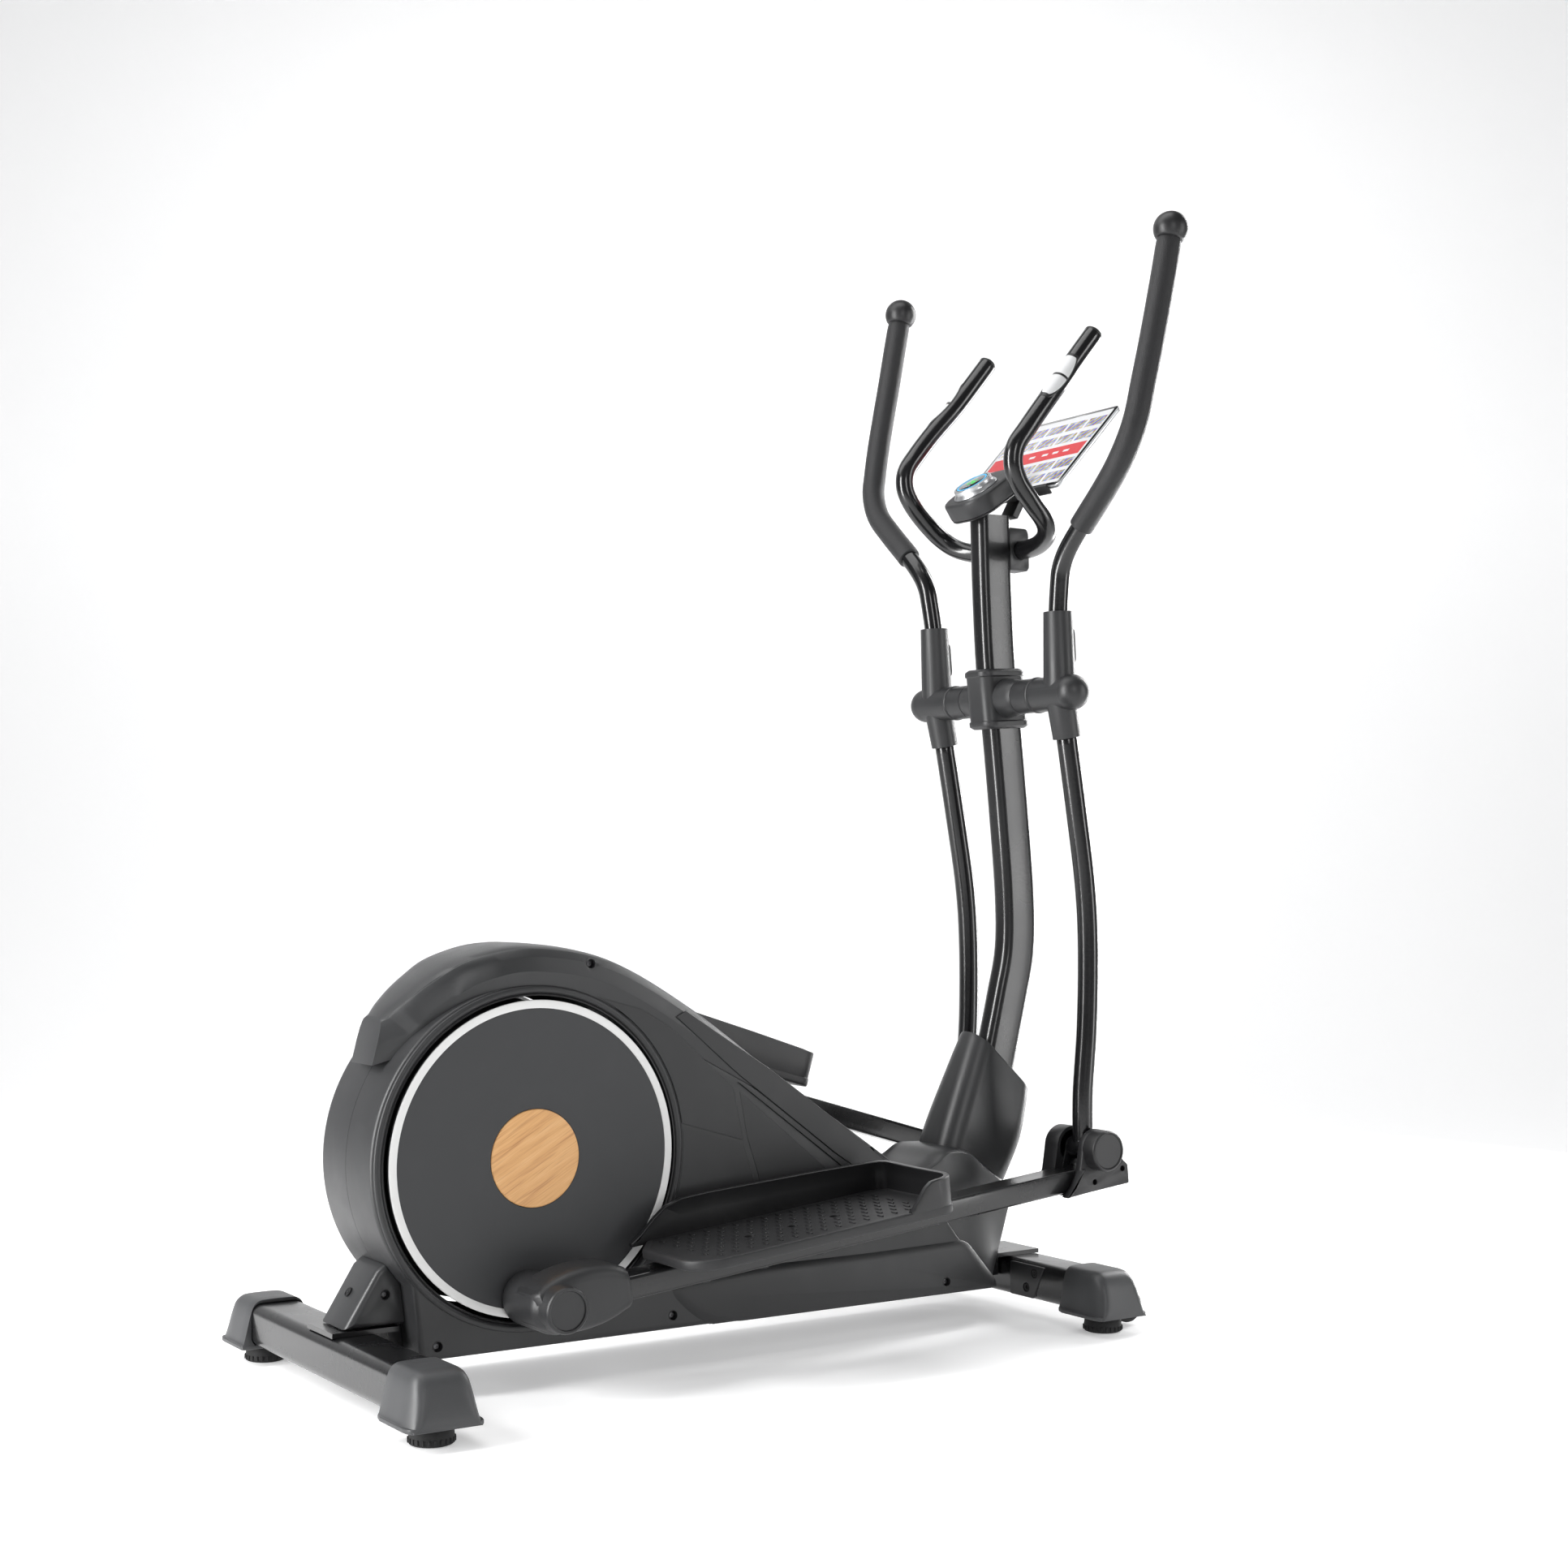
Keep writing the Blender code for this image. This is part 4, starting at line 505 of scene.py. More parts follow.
def bamboo():
    """Pressed bamboo: long fibres, broader strips and darker growth lines, under satin lacquer."""
    f = Finish("bamboo_board", IOR=1.5, Coat_Weight=0.25, Coat_Roughness=0.25)
    tilt = (0, math.radians(30), 0)
    fibre = f.noise(1.0, 5.0, f.stretched((28.0, 300.0, 620.0), tilt))
    strip = f.noise(1.0, 3.0, f.stretched((6.0, 60.0, 110.0), tilt))
    growth = f.noise(1.0, 2.0, f.stretched((9.0, 120.0, 230.0), tilt)).apart(0.56, 0.66)
    wood = f.shades(strip * 0.55 + fibre * 0.45, ((0.30, (0.56, 0.27, 0.095)), (0.50, (0.74, 0.40, 0.155)),
                                                   (0.72, (0.84, 0.52, 0.24))))
    return f.set_inputs(Base_Color=f.mix(growth * 0.45, wood, (0.40, 0.155, 0.045)), Roughness=0.42 + fibre * 0.14,
                  Normal=f.bump(fibre * 0.6 + growth * -0.4, 0.00012))


def metal(name, colour, roughness, along=(40.0, 900.0, 900.0)):
    """Bare metal with a fine directional brushing."""
    f = Finish(name, Metallic=1.0)
    lines = f.noise(1.0, 4.0, f.stretched(along))
    cloud = f.noise(30.0, 3.0)
    return f.set_inputs(Base_Color=f.mix(cloud * 0.5, colour, tuple(c * 0.82 for c in colour)),
                  Roughness=roughness + lines * 0.14, Normal=f.bump(lines, 0.00004))


def iron():
    f = Finish("cast_iron_skin", Metallic=0.8)
    crust = f.noise(300.0, 5.0)
    return f.set_inputs(Base_Color=f.mix(crust, (0.10, 0.10, 0.105), (0.22, 0.22, 0.22)),
                  Roughness=0.45 + crust * 0.2,
                  Normal=f.bump(crust, 0.0004))


def glass_face(name, colour=(0.004, 0.004, 0.005)):
    f = Finish(name, IOR=1.5, Coat_Weight=0.4, Coat_Roughness=0.02)
    smear = f.noise(45.0, 4.0).apart(0.5, 0.85)
    return f.set_inputs(Base_Color=f.mix(smear * 0.3, colour, tuple(c * 2 for c in colour)),
                  Roughness=0.05 + smear * 0.09)


def glowing(name, colour, strength, grain=500.0):
    """A lit surface, slightly uneven as a diffused lamp is."""
    f = Finish(name, Emission_Strength=strength)
    uneven = f.noise(grain, 2.0)
    tint = f.mix(uneven * 0.35, colour, tuple(c * 0.85 for c in colour))
    return f.set_inputs(Base_Color=tint, Roughness=0.3 + uneven * 0.1, Emission_Color=tint)


def screen_tiles(name, shift):
    """Picture tiles: each takes its own hue from its place, with a blotch of a second colour."""
    f = Finish(name, Emission_Strength=0.35)
    parts = f.node("ShaderNodeSeparateXYZ", Vector=f.place)
    wave = (parts["Y"] * 61.0 + parts["Z"] * 83.0 + shift)
    hue = wave.sum("FRACT", wave)
    blotch = f.noise(85.0, 3.0).apart(0.45, 0.62)
    first = f.shades(hue, ((0.0, (0.42, 0.02, 0.03)), (0.28, (0.02, 0.04, 0.38)), (0.50, (0.02, 0.20, 0.36)),
                           (0.70, (0.46, 0.24, 0.03)), (0.88, (0.04, 0.20, 0.04))))
    second = f.shades(hue, ((0.0, (0.55, 0.40, 0.28)), (0.35, (0.35, 0.45, 0.55)), (0.65, (0.02, 0.02, 0.04)),
                            (0.9, (0.52, 0.50, 0.42))))
    picture = f.mix(blotch * 0.8, first, second)
    return f.set_inputs(Base_Color=picture, Emission_Color=picture, Roughness=0.12 + blotch * 0.05)


FINISHES = {
    "charcoal": (moulded("charcoal_plastic_grain", (0.0165, 0.0168, 0.0178), 0.37), "charcoal_plastic"),
    "disc": (moulded("crank_disc_grain", (0.034, 0.035, 0.037), 0.48, 1500.0, 0.00004, 0.18),
             "charcoal_plastic"),
    "grey": (moulded("grey_plastic_grain", (0.0240, 0.0245, 0.0255), 0.33, 3000.0, 0.00003), "grey_plastic"),
    "cap": (moulded("end_cap_grain", (0.040, 0.041, 0.043), 0.36, 1700.0, 0.00009), "charcoal_plastic"),
    "black": (moulded("black_plastic_grain", (0.0085, 0.0085, 0.0092), 0.34, 1900.0, 0.00006, 0.6),
              "black_plastic"),
    "tread": (moulded("tread_plastic_grain", (0.0100, 0.0100, 0.0108), 0.42, 1300.0, 0.00012, 0.5),
              "black_plastic"),
    # Near-black recess finish: painted shade, put on the bracket screw cups and the boss mouth where shade
    # falls.
    "hollow": (moulded("shadowed_recess", (0.003, 0.003, 0.0035), 0.6), "black_plastic"),
    "paint": (gloss_paint("black_gloss_paint", (0.0035, 0.0035, 0.004), 0.20), "black_paint"),
    "bar_paint": (gloss_paint("black_satin_paint", (0.0045, 0.0045, 0.005), 0.26), "black_paint"),
    "ring": (moulded("light_ring_enamel", (0.78, 0.78, 0.77), 0.36, 900.0, 0.00002, 0.03),
             "charcoal_plastic"),
    "foam": (foam(), "foam"),
    "rubber": (rubber(), "rubber"),
    "bamboo": (bamboo(), "bamboo"),
    "steel": (metal("bare_steel_brushed", (0.55, 0.55, 0.56), 0.22), "bare_steel"),
    "screw": (metal("dark_screw_steel", (0.12, 0.12, 0.125), 0.34), "bare_steel"),
    "aluminium": (metal("brushed_aluminium", (0.62, 0.63, 0.64), 0.26, (700.0, 700.0, 120.0)), "aluminium"),
    # The steel pulse plates are drawn as pale non-metallic grey: a painted reflection of the bright studio in
    # place of metal.
    "pulse_painted_reflection": (moulded("pulse_plate_painted_reflection", (0.60, 0.605, 0.61), 0.26, 700.0, 0.00002, 0.06),
                    "aluminium"),
    "iron": (iron(), "cast_iron"),
    "glass": (glass_face("black_glass"), "glass_black"),
    "cyan": (glowing("cyan_light_ring", (0.03, 0.30, 0.55), 0.7), "glass_black"),
    "green": (glowing("green_digits", (0.04, 0.55, 0.08), 0.9), "glass_black"),
    "white_screen": (glowing("white_screen", (0.50, 0.505, 0.515), 0.30, 60.0), "glass_black"),
    "tiles": (screen_tiles("picture_tiles", 0.13), "glass_black"),
    "red_banner": (glowing("red_banner", (0.42, 0.006, 0.012), 0.35, 90.0), "glass_black"),
}


# ---------------------------------------------------------------- housing
HOUSING_HALF, HOUSING_RADIUS, OPENING = 0.078, 0.2185, 0.2040
HOUSING_NOSE_TOP, HOUSING_NOSE_FOOT = (0.600, 0.2165), (0.735, 0.048)
HOUSING_FOOT = (-0.151, 0.048)


def housing_outline(count=60):
    """Round back about the crank, straight falling top, slanted front seam."""
    nose_x, nose_z = HOUSING_NOSE_TOP
    span = math.hypot(nose_x, nose_z - CRANK_Z)
    tangent = math.degrees(math.atan2(nose_z - CRANK_Z, nose_x) + math.acos(HOUSING_RADIUS / span))
    return ([HOUSING_NOSE_FOOT, HOUSING_NOSE_TOP] + arc((0, CRANK_Z), HOUSING_RADIUS, tangent, 222, count)
            + [HOUSING_FOOT])


def spread_evenly(line, count=25):
    """The same curve given by points at even spacing."""
    points = [Vector(p) for p in line]
    lengths = np.cumsum([0.0] + [(b - a).length for a, b in zip(points, points[1:])])
    spots = np.linspace(0.0, lengths[-1], count)
    return [Vector((np.interp(t, lengths, [p.x for p in points]),
                    np.interp(t, lengths, [p.y for p in points])))
            for t in spots]


def web_strip(name, inner, outer, proud, side, lip=0.0010):
    """A panel standing proud of the housing's side between two curves."""
    base, top, rings = HOUSING_HALF - 0.002, HOUSING_HALF + proud, []
    for near, far in zip(spread_evenly(inner), spread_evenly(outer)):
        across = (far - near).normalized() * lip
        ring = ((near, base), (near + across * 0.3, top - lip * 0.6), (near + across, top),
                (far - across, top),
                (far - across * 0.3, top - lip * 0.6), (far, base))
        rings.append([Vector((point.x, SIDES[side] * y, point.y)) for point, y in ring])
    return make(f"{side}_{name}", skin_rings(rings), "charcoal", "frame", sharp=20)


def screw_well(point, radius, depth=0.010):
    """Cutter for a screw's well, drawn along Y from a face."""
    x, y, z = point
    inward = -math.copysign(depth, y)
    return rod((x, y - inward, z), (x, y + inward, z), radius, 28)


def well_lining(name, wells, radius, body, place=MACHINE):
    """Dark sleeve and sunk screw head at the bottom of every well. The sleeve's black, darker than the cover
    round it, is painted shade down the well.
    """
    for i, (x, y, z) in enumerate(wells):
        inward = -math.copysign(1.0, y)
        # Black sleeve: painted shade inside the well.
        ring = [(radius + 0.0013, -0.0004), (radius + 0.0010, 0.0005), (radius + 0.0001, 0.0003),
                (radius - 0.0004, -0.0075), (radius + 0.0013, -0.0075)]
        sleeve = moved(lathe([(r, a * -inward) for r, a in ring], 28), (x, y, z))
        make(f"{name}_sleeve_{i + 1}", sleeve, "black", body, place=place, bevel=0.0002, steps=1)
        head = moved(lathe([(0, -0.0070 * -inward), (radius - 0.0008, -0.0070 * -inward),
                            (radius - 0.0008, -0.0058 * -inward), (radius - 0.0022, -0.0048 * -inward),
                            (0.0016, -0.0048 * -inward), (0.0016, -0.0060 * -inward),
                            (0, -0.0060 * -inward)], 24),
                     (x, y, z))
        make(f"{name}_screw_{i + 1}", head, "screw", body, place=place)


def build_housing():
    wells = [(0.5200, 0.2514), (-0.1297, 0.0645), (0.2031, 0.0662), (0.6476, 0.0651)]
    for side, sign in SIDES.items():
        shell = prism(housing_outline(),
                      [(0.0003, 0), (HOUSING_HALF - 0.007, 0), (HOUSING_HALF - 0.0030, 0.0008),
                                          (HOUSING_HALF - 0.0008, 0.0030), (HOUSING_HALF, 0.007)], sign)
        hollow = prism(housing_outline(), [(-0.01, 0.003), (HOUSING_HALF - 0.004, 0.003),
                                           (HOUSING_HALF - 0.003, 0.006)], sign)
        opening = rod((0, sign * 0.06, CRANK_Z), (0, sign * 0.10, CRANK_Z), OPENING + 0.004, 128)
        holes = [screw_well((x, sign * HOUSING_HALF, z), 0.0062) for x, z in wells[1:]]
        beam = box((-0.30, 0.90), (-0.026, 0.026), (0.052, 0.092))
        make(f"{side}_housing_shell", shell, "charcoal", "frame", f"{side}_side_cover",
             cuts=(hollow, opening, beam, *holes), sharp=42)
        well_lining(f"{side}_housing", [(x, sign * (HOUSING_HALF + 0.0001), z) for x, z in wells[1:]], 0.0058,
                    "frame")
        rim = [(OPENING - 0.0015, 0.0735), (OPENING + 0.0120, 0.0735)]
        crown = [(OPENING + 0.0120 - 0.0005, 0.0776)] + [
            (OPENING + 0.0068 + 0.0050 * math.cos(math.radians(a)),
             0.0782 + 0.0038 * math.sin(math.radians(a)))
            for a in range(20, 171, 15)] + [(OPENING + 0.0008, 0.0775), (OPENING - 0.0015, 0.0765)]
        make(f"{side}_opening_rim", moved(lathe([(r, sign * y) for r, y in rim + crown], 160),
                                          (0, 0, CRANK_Z)),
             "charcoal", "frame")
        # The black groove ring fills the gap between disc and opening: painted shade in that gap.
        groove = [(OPENING - 0.0016, 0.0755), (OPENING + 0.0016, 0.0755), (OPENING + 0.0016, 0.0790),
                  (OPENING + 0.0002, 0.0800), (OPENING - 0.0012, 0.0792)]
        make(f"{side}_groove_ring", moved(lathe([(r, sign * y) for r, y in groove], 160), (0, 0, CRANK_Z)),
             "black", "frame")
        web_strip("upper_web_panel", arc((0, CRANK_Z), OPENING + 0.0130, 66, 8, 18),
                  [(0.1560, 0.4640), (0.1990, 0.4390), (0.2950, 0.3560), (0.3110, 0.2860)], 0.0014, side)
        web_strip("lower_web_panel", arc((0, CRANK_Z), OPENING + 0.0130, 6, -34, 14),
                  [(0.3125, 0.2800), (0.3290, 0.2290), (0.3440, 0.1500)], 0.0004, side)
        web_strip("rib_panel", [(0.3045, 0.3500), (0.3160, 0.2900), (0.3350, 0.2350), (0.3520, 0.1560)],
                  [(0.3085, 0.3480), (0.3900, 0.2830), (0.4730, 0.2160), (0.5560, 0.1560)], 0.0006, side)
        web_strip("upper_rib", [(0.3020, 0.3630), (0.5900, 0.1520)], [(0.3150, 0.3560), (0.6120, 0.1520)],
                  0.0024, side)
        web_strip("top_rail", [(0.2060, 0.4530), (0.2980, 0.3760), (0.4620, 0.2560), (0.6220, 0.1560)],
                  [(0.2220, 0.4600), (0.3500, 0.3800), (0.5000, 0.2760), (0.6380, 0.1600)], 0.0022, side)
        nose = [(0.3010, 0.0492), (0.2700, 0.0565), (0.2440, 0.0690), (0.2240, 0.0860), (0.2100, 0.1010),
                (0.3437, 0.1068), (0.5185, 0.1063), (0.6800, 0.1091), (0.7290, 0.0530), (0.7280, 0.0492)]
        levels = [(HOUSING_HALF - 0.002, -0.012), (HOUSING_HALF + 0.0006, -0.0105),
                  (HOUSING_HALF + 0.0034, -0.0010),
                  (HOUSING_HALF + 0.0042, 0.0020)]
        lower = prism(rounded(nose, 0.012, 8), levels, sign)
        for vertex in lower.verts:
            vertex.co.z = max(vertex.co.z, 0.0484)
        make(f"{side}_lower_bulge", lower, "charcoal", "frame",
             cuts=[screw_well((0.6476, sign * 0.0820, 0.0651), 0.0062, 0.012)], sharp=50)
        well_lining(f"{side}_bulge", [(0.6476, sign * 0.0821, 0.0651)], 0.0058, "frame")


# ---------------------------------------------------------------- saddle over the housing
SADDLE_HALF = 0.0795
SADDLE_STATIONS = (-0.185, -0.150, -0.100, -0.050, 0.000)
SADDLE_SHARES = (0.46, 0.68, 0.88, 0.97, 1.00)


def saddle_half(x):
    return SADDLE_HALF * float(np.interp(x, SADDLE_STATIONS, SADDLE_SHARES))


SADDLE_SECTION = ((0.0000, 0.0), (0.0004, 0.40), (0.0016, 0.62), (0.0044, 0.800), (0.0056, 0.822),
                  (0.0058, 0.835),
                  (0.0085, 0.872), (0.0160, 0.945), (0.0300, 0.985), (0.0345, 0.993), (0.0362, 0.985),
                  (0.0600, 0.984))


def build_saddle():
    """Crowned crest, a fine crease, a lit shoulder band, and a darker bevel down to the housing."""
    crest = smooth([(0.588, 0.2275), (0.502, 0.286), (0.368, 0.376), (0.240, 0.4655), (0.118, 0.531),
                    (0.001, 0.552), (-0.080, 0.5385), (-0.130, 0.5110), (-0.165, 0.4830), (-0.184, 0.4640)],
                   8)
    last = len(crest) - 1
    rings = []
    for i, point in enumerate(crest):
        ahead = (crest[min(i + 1, last)] - crest[max(i - 1, 0)]).normalized()
        inward = Vector((-ahead.y, ahead.x))
        foot = Vector((-0.198, 0.407)) if i == last else point + inward * 0.060
        tail = max(0.0, 1 - (last - i) / 7.0)
        drop = (foot - point).normalized()
        half_ring = []
        for depth, share in SADDLE_SECTION:
            spot = point + drop * depth
            half = saddle_half(spot.x) * share
            if tail and share > 0.5:
                half *= 1 - 0.10 * tail
            half_ring.append((spot, half))
        ring = [Vector((spot.x, -half, spot.y)) for spot, half in reversed(half_ring[1:])]
        ring += [Vector((half_ring[0][0].x, 0, half_ring[0][0].y))]
        ring += [Vector((spot.x, half, spot.y)) for spot, half in half_ring[1:]]
        rings.append(ring)
    mesh = skin_rings(rings)
    wells = [(0.0816, 0.5250), (0.5200, 0.2560)]
    below = prism(inset(housing_outline(), 0.004), [(-0.09, 0), (0.09, 0)])
    holes = [screw_well((x, sign * 0.0775, z), 0.0058, 0.012) for x, z in wells for sign in (-1, 1)]
    make("saddle_cover", mesh, "grey", "frame", "top_cover", cuts=(below, *holes), bevel=0.0010, steps=3,
         angle=28,
         sharp=24)
    for sign, side in ((-1, "right"), (1, "left")):
        well_lining(f"{side}_saddle", [(x, sign * 0.0758, z) for x, z in wells], 0.0056, "frame")


# ---------------------------------------------------------------- neck cover and mast boots
def build_neck_cover():
    outline = [(-0.100, 0.0885), (-0.100, 0.1790), (-0.1750, 0.1700), (-0.1930, 0.1560), (-0.2345, 0.0885)]
    levels = [(-0.0400, 0.0070), (-0.0390, 0.0042), (-0.0370, 0.0020), (-0.0340, 0.0006), (-0.0300, 0),
              (0.0300, 0),
              (0.0340, 0.0006), (0.0370, 0.0020), (0.0390, 0.0042), (0.0400, 0.0070)]
    clear = prism([(x, z) for x, z in housing_outline()], [(-0.09, 0), (0.09, 0)])
    wells = [(-0.1820, 0.1270)]
    make("neck_cover", prism(outline, levels), "grey", "frame", "rear_neck_cover",
         cuts=[clear] + [screw_well((x, sign * 0.0400, z), 0.0056) for x, z in wells for sign in (-1, 1)],
         bevel=0.0012, steps=3, angle=28, sharp=26)
    for sign, side in ((-1, "right"), (1, "left")):
        well_lining(f"{side}_neck", [(x, sign * 0.0402, z) for x, z in wells], 0.0053, "frame")
    slope = Vector((-0.1915 + 0.2335, 0, 0.1580 - 0.0965)).normalized()
    face = Vector((-0.2125, 0.004, 0.1272))
    out = Vector((-slope.z, 0, slope.x))
    socket = lathe([(0, -0.002), (0.0062, -0.002), (0.0062, 0.0007), (0.0052, 0.0007), (0.0048, -0.0002),
                    (0.0018, -0.0002), (0.0016, 0.0004), (0, 0.0004)], 32)
    socket.transform(Matrix.Translation(face)
                     @ Vector((0, 1, 0)).rotation_difference(out).to_matrix().to_4x4())
    make("power_inlet", socket, "black", "frame")


def build_boots():
    """Lower flare round the mast's foot, and the sleeve that rises out of it."""
    seam = [(0.6160, 0.2230), (0.6370, 0.2335), (0.6650, 0.2480), (0.7070, 0.2440), (0.7450, 0.2190),
            (0.8010, 0.1850)]
    halves = (0.0700, 0.0680, 0.0650, 0.0600, 0.0540, 0.0430)
    first = Vector(HOUSING_NOSE_FOOT)
    line = smooth([(x, z, half) for (x, z), half in zip([HOUSING_NOSE_TOP] + seam[1:], halves)], 6)
    rings = []
    for i, (x, z, half) in enumerate(line):
        share = i / (len(line) - 1)
        low = Vector((first.x + 0.0006 + share * (0.757 - first.x), first.y))
        high, drop = Vector((x, z)), low - Vector((x, z))
        ring = []
        for depth, width in ((0.0, 0.0), (0.0006, 0.55), (0.0030, 0.86), (0.0080, 0.965), (0.0200, 1.0),
                             (0.0700, 1.005), (0.80, 1.0), (0.97, 0.995), (1.0, 0.98)):
            spot = high + (drop * depth if depth > 0.5 else drop.normalized() * depth)
            ring.append((spot, half * width))
        body = [Vector((spot.x, -half_here, spot.y)) for spot, half_here in reversed(ring[1:])]
        body += [Vector((ring[0][0].x, 0, ring[0][0].y))]
        body += [Vector((spot.x, half_here, spot.y)) for spot, half_here in ring[1:]]
        rings.append(body)
    make("boot_flare", skin_rings(rings), "grey", "frame", "mast_boot_lower",
         cuts=[box((0.30, 0.90), (-0.026, 0.026), (0.052, 0.092))], bevel=0.002, sharp=34)
    stations = (((0.7490, 0.4070), (0.8500, 0.3130), 0.0320), ((0.7270, 0.3600), (0.8430, 0.2860), 0.0365),
                ((0.6870, 0.2700), (0.8260, 0.2430), 0.0430), ((0.6660, 0.2050), (0.7880, 0.1750), 0.0440))
    table = smooth([(*rear, half) for rear, _, half in stations],
                   8), smooth([(*front, 0) for _, front, _ in stations], 8)

    def sleeve(wall, lift):
        levels = []
        for i, (rear, front) in enumerate(zip(*table)):
            half = rear.z
            a, b = Vector((rear.x, 0, rear.y)), Vector((front.x, 0, front.y))
            along, middle, length = (b - a).normalized(), (a + b) / 2, (b - a).length - 2 * wall
            raise_by = lift if i == 0 else (-lift if i == len(table[0]) - 1 else 0)
            levels.append([middle + Vector((0, v, raise_by)) + along * u
                           for u, v in rounded_rectangle(length, 2 * (half - wall), min(half - wall, 0.030),
                                                         12)])
        return skin_rings(levels)

    make("boot_sleeve", sleeve(0, 0), "grey", "frame", "mast_boot_upper", cuts=[sleeve(0.003, 0.01)],
         bevel=0.0012,
         sharp=40)


# ---------------------------------------------------------------- mast, collar, fixed handlebar
MAST_LINE = ((0.768, 0.2348), (0.785, 0.305), (0.805, 0.382), (0.823, 0.453), (0.839, 0.525),
             (0.8395, 0.609), (0.829, 0.730), (0.817, 0.845), (0.805, 0.948), (0.7985, 1.060),
             (0.795, 1.170))
POD_TILT, TABLET_TILT = 35.0, 47.0


def tilted(point, degrees, along, height, y=0.0):
    tilt = math.radians(degrees)
    return Vector((point[0] + along * math.cos(tilt) - height * math.sin(tilt), y,
                   point[1] + along * math.sin(tilt) + height * math.cos(tilt)))


def pod_point(along, height, y=0.0):
    return tilted((0.7685, 1.2074), POD_TILT, along, height, y)


def tablet_point(along, height, y=0.0):
    return tilted((0.826, 1.205), TABLET_TILT, along, height, y)


def tilted_slab(outline, levels, point):
    return skin_rings([[point(u, height, v) for u, v in inset(outline, depth)] for height, depth in levels])


def mast_solid(margin):
    points = smooth([(x, 0, z) for x, z in MAST_LINE], 6)
    return sweep(points, rounded_rectangle(0.036 + 2 * margin, 0.060 + 2 * margin, 0.013 + margin, 8),
                 (0, 1, 0))


def build_mast():
    top = [pod_point(u, -0.0302) for u in (-0.2, 0.2)]
    above = [(p.x, p.z) for p in top] + [(p.x, p.z + 0.3) for p in reversed(top)]
    make("mast_tube", mast_solid(0), "bar_paint", "frame", "mast",
         cuts=[prism(above, [(-0.05, 0), (0.05, 0)])],
         sharp=45)


def build_collar():
    """Collar with rounded uprights and chamfered bands, and the cone that becomes the cross tube."""
    lean = math.tan(math.radians(6.6))
    rings = []
    for height, grow in ((-0.0440, -0.0060), (-0.0400, 0), (-0.0335, 0.0002), (-0.0325, -0.0018),
                         (0.0325, -0.0018),
                         (0.0335, 0.0002), (0.0400, 0), (0.0440, -0.0060)):
        plan = rounded_rectangle(0.083 + 2 * grow, 0.058 + 2 * grow, 0.018 + grow, 10)
        rings.append([ROCKER + Vector((u - height * lean, v, height + u * lean * 0.5)) for u, v in plan])
    make("mast_clamp_collar", skin_rings(rings), "charcoal", "frame", "mast_collar",
         cuts=[mast_solid(0.0002)],
         bevel=0.0007, steps=2, angle=24, sharp=30)
    cone = [(0.0185, 0.0190), (0.0296, 0.0190), (0.0292, 0.0270), (0.0280, 0.0370), (0.0264, 0.0490),
            (0.0252, 0.0588),
            (0.0246, 0.0598), (0.0185, 0.0598)]
    for side, sign in SIDES.items():
        make(f"{side}_collar_cone", moved(lathe([(r, sign * y) for r, y in cone], 72), ROCKER), "charcoal",
             "frame",
             sharp=40)


HANDLEBAR = ((0.8897, 0.124, 1.4310), (0.8560, 0.124, 1.3910), (0.8250, 0.1265, 1.3540),
             (0.7870, 0.1310, 1.3120), (0.7570, 0.1325, 1.2760), (0.7380, 0.1310, 1.2500),
             (0.7345, 0.1290, 1.2240), (0.7470, 0.1265, 1.1980), (0.7730, 0.1250, 1.1710),
             (0.8000, 0.1200, 1.1480), (0.8180, 0.1030, 1.1330), (0.8330, 0.0700, 1.1240),
             (0.8415, 0.0350, 1.1210), (0.8415, 0.0000, 1.1210))


def sensor_patch(line, lengths, start, end, sign, inner, outer, wide=1.0):
    """A curved plate on the bar's outer face, cut from one long eye-shaped outline."""
    rings = []
    for along in np.linspace(start, end, 15):
        index = min(max(int(np.searchsorted(lengths, along)), 1), len(line) - 1)
        share = (along - lengths[index - 1]) / max(lengths[index] - lengths[index - 1], 1e-9)
        point = line[index - 1].lerp(line[index], share)
        ahead = (line[index] - line[index - 1]).normalized()
        facing = Vector((-0.86, 0.50 * sign, 0))
        facing = (facing - ahead * facing.dot(ahead)).normalized()
        beside = ahead.cross(facing)
        reach = abs(along - 0.1010) / (0.0465 * wide)
        half = 0.98 * wide * math.sqrt(max(1 - reach ** 2.2, 0.004))
        edge = 0.0004 if min(along - start, end - along) < 1e-6 else 0.0
        top = [point + (facing * math.cos(a) + beside * math.sin(a))
               * (outer - edge - 0.0005 * (abs(a) > half * 0.97))
               for a in np.linspace(-half, half, 21)]
        foot = [point + (facing * math.cos(a) + beside * math.sin(a)) * inner
                for a in np.linspace(half, -half, 21)]
        rings.append(top + foot)
    return skin_rings(rings)


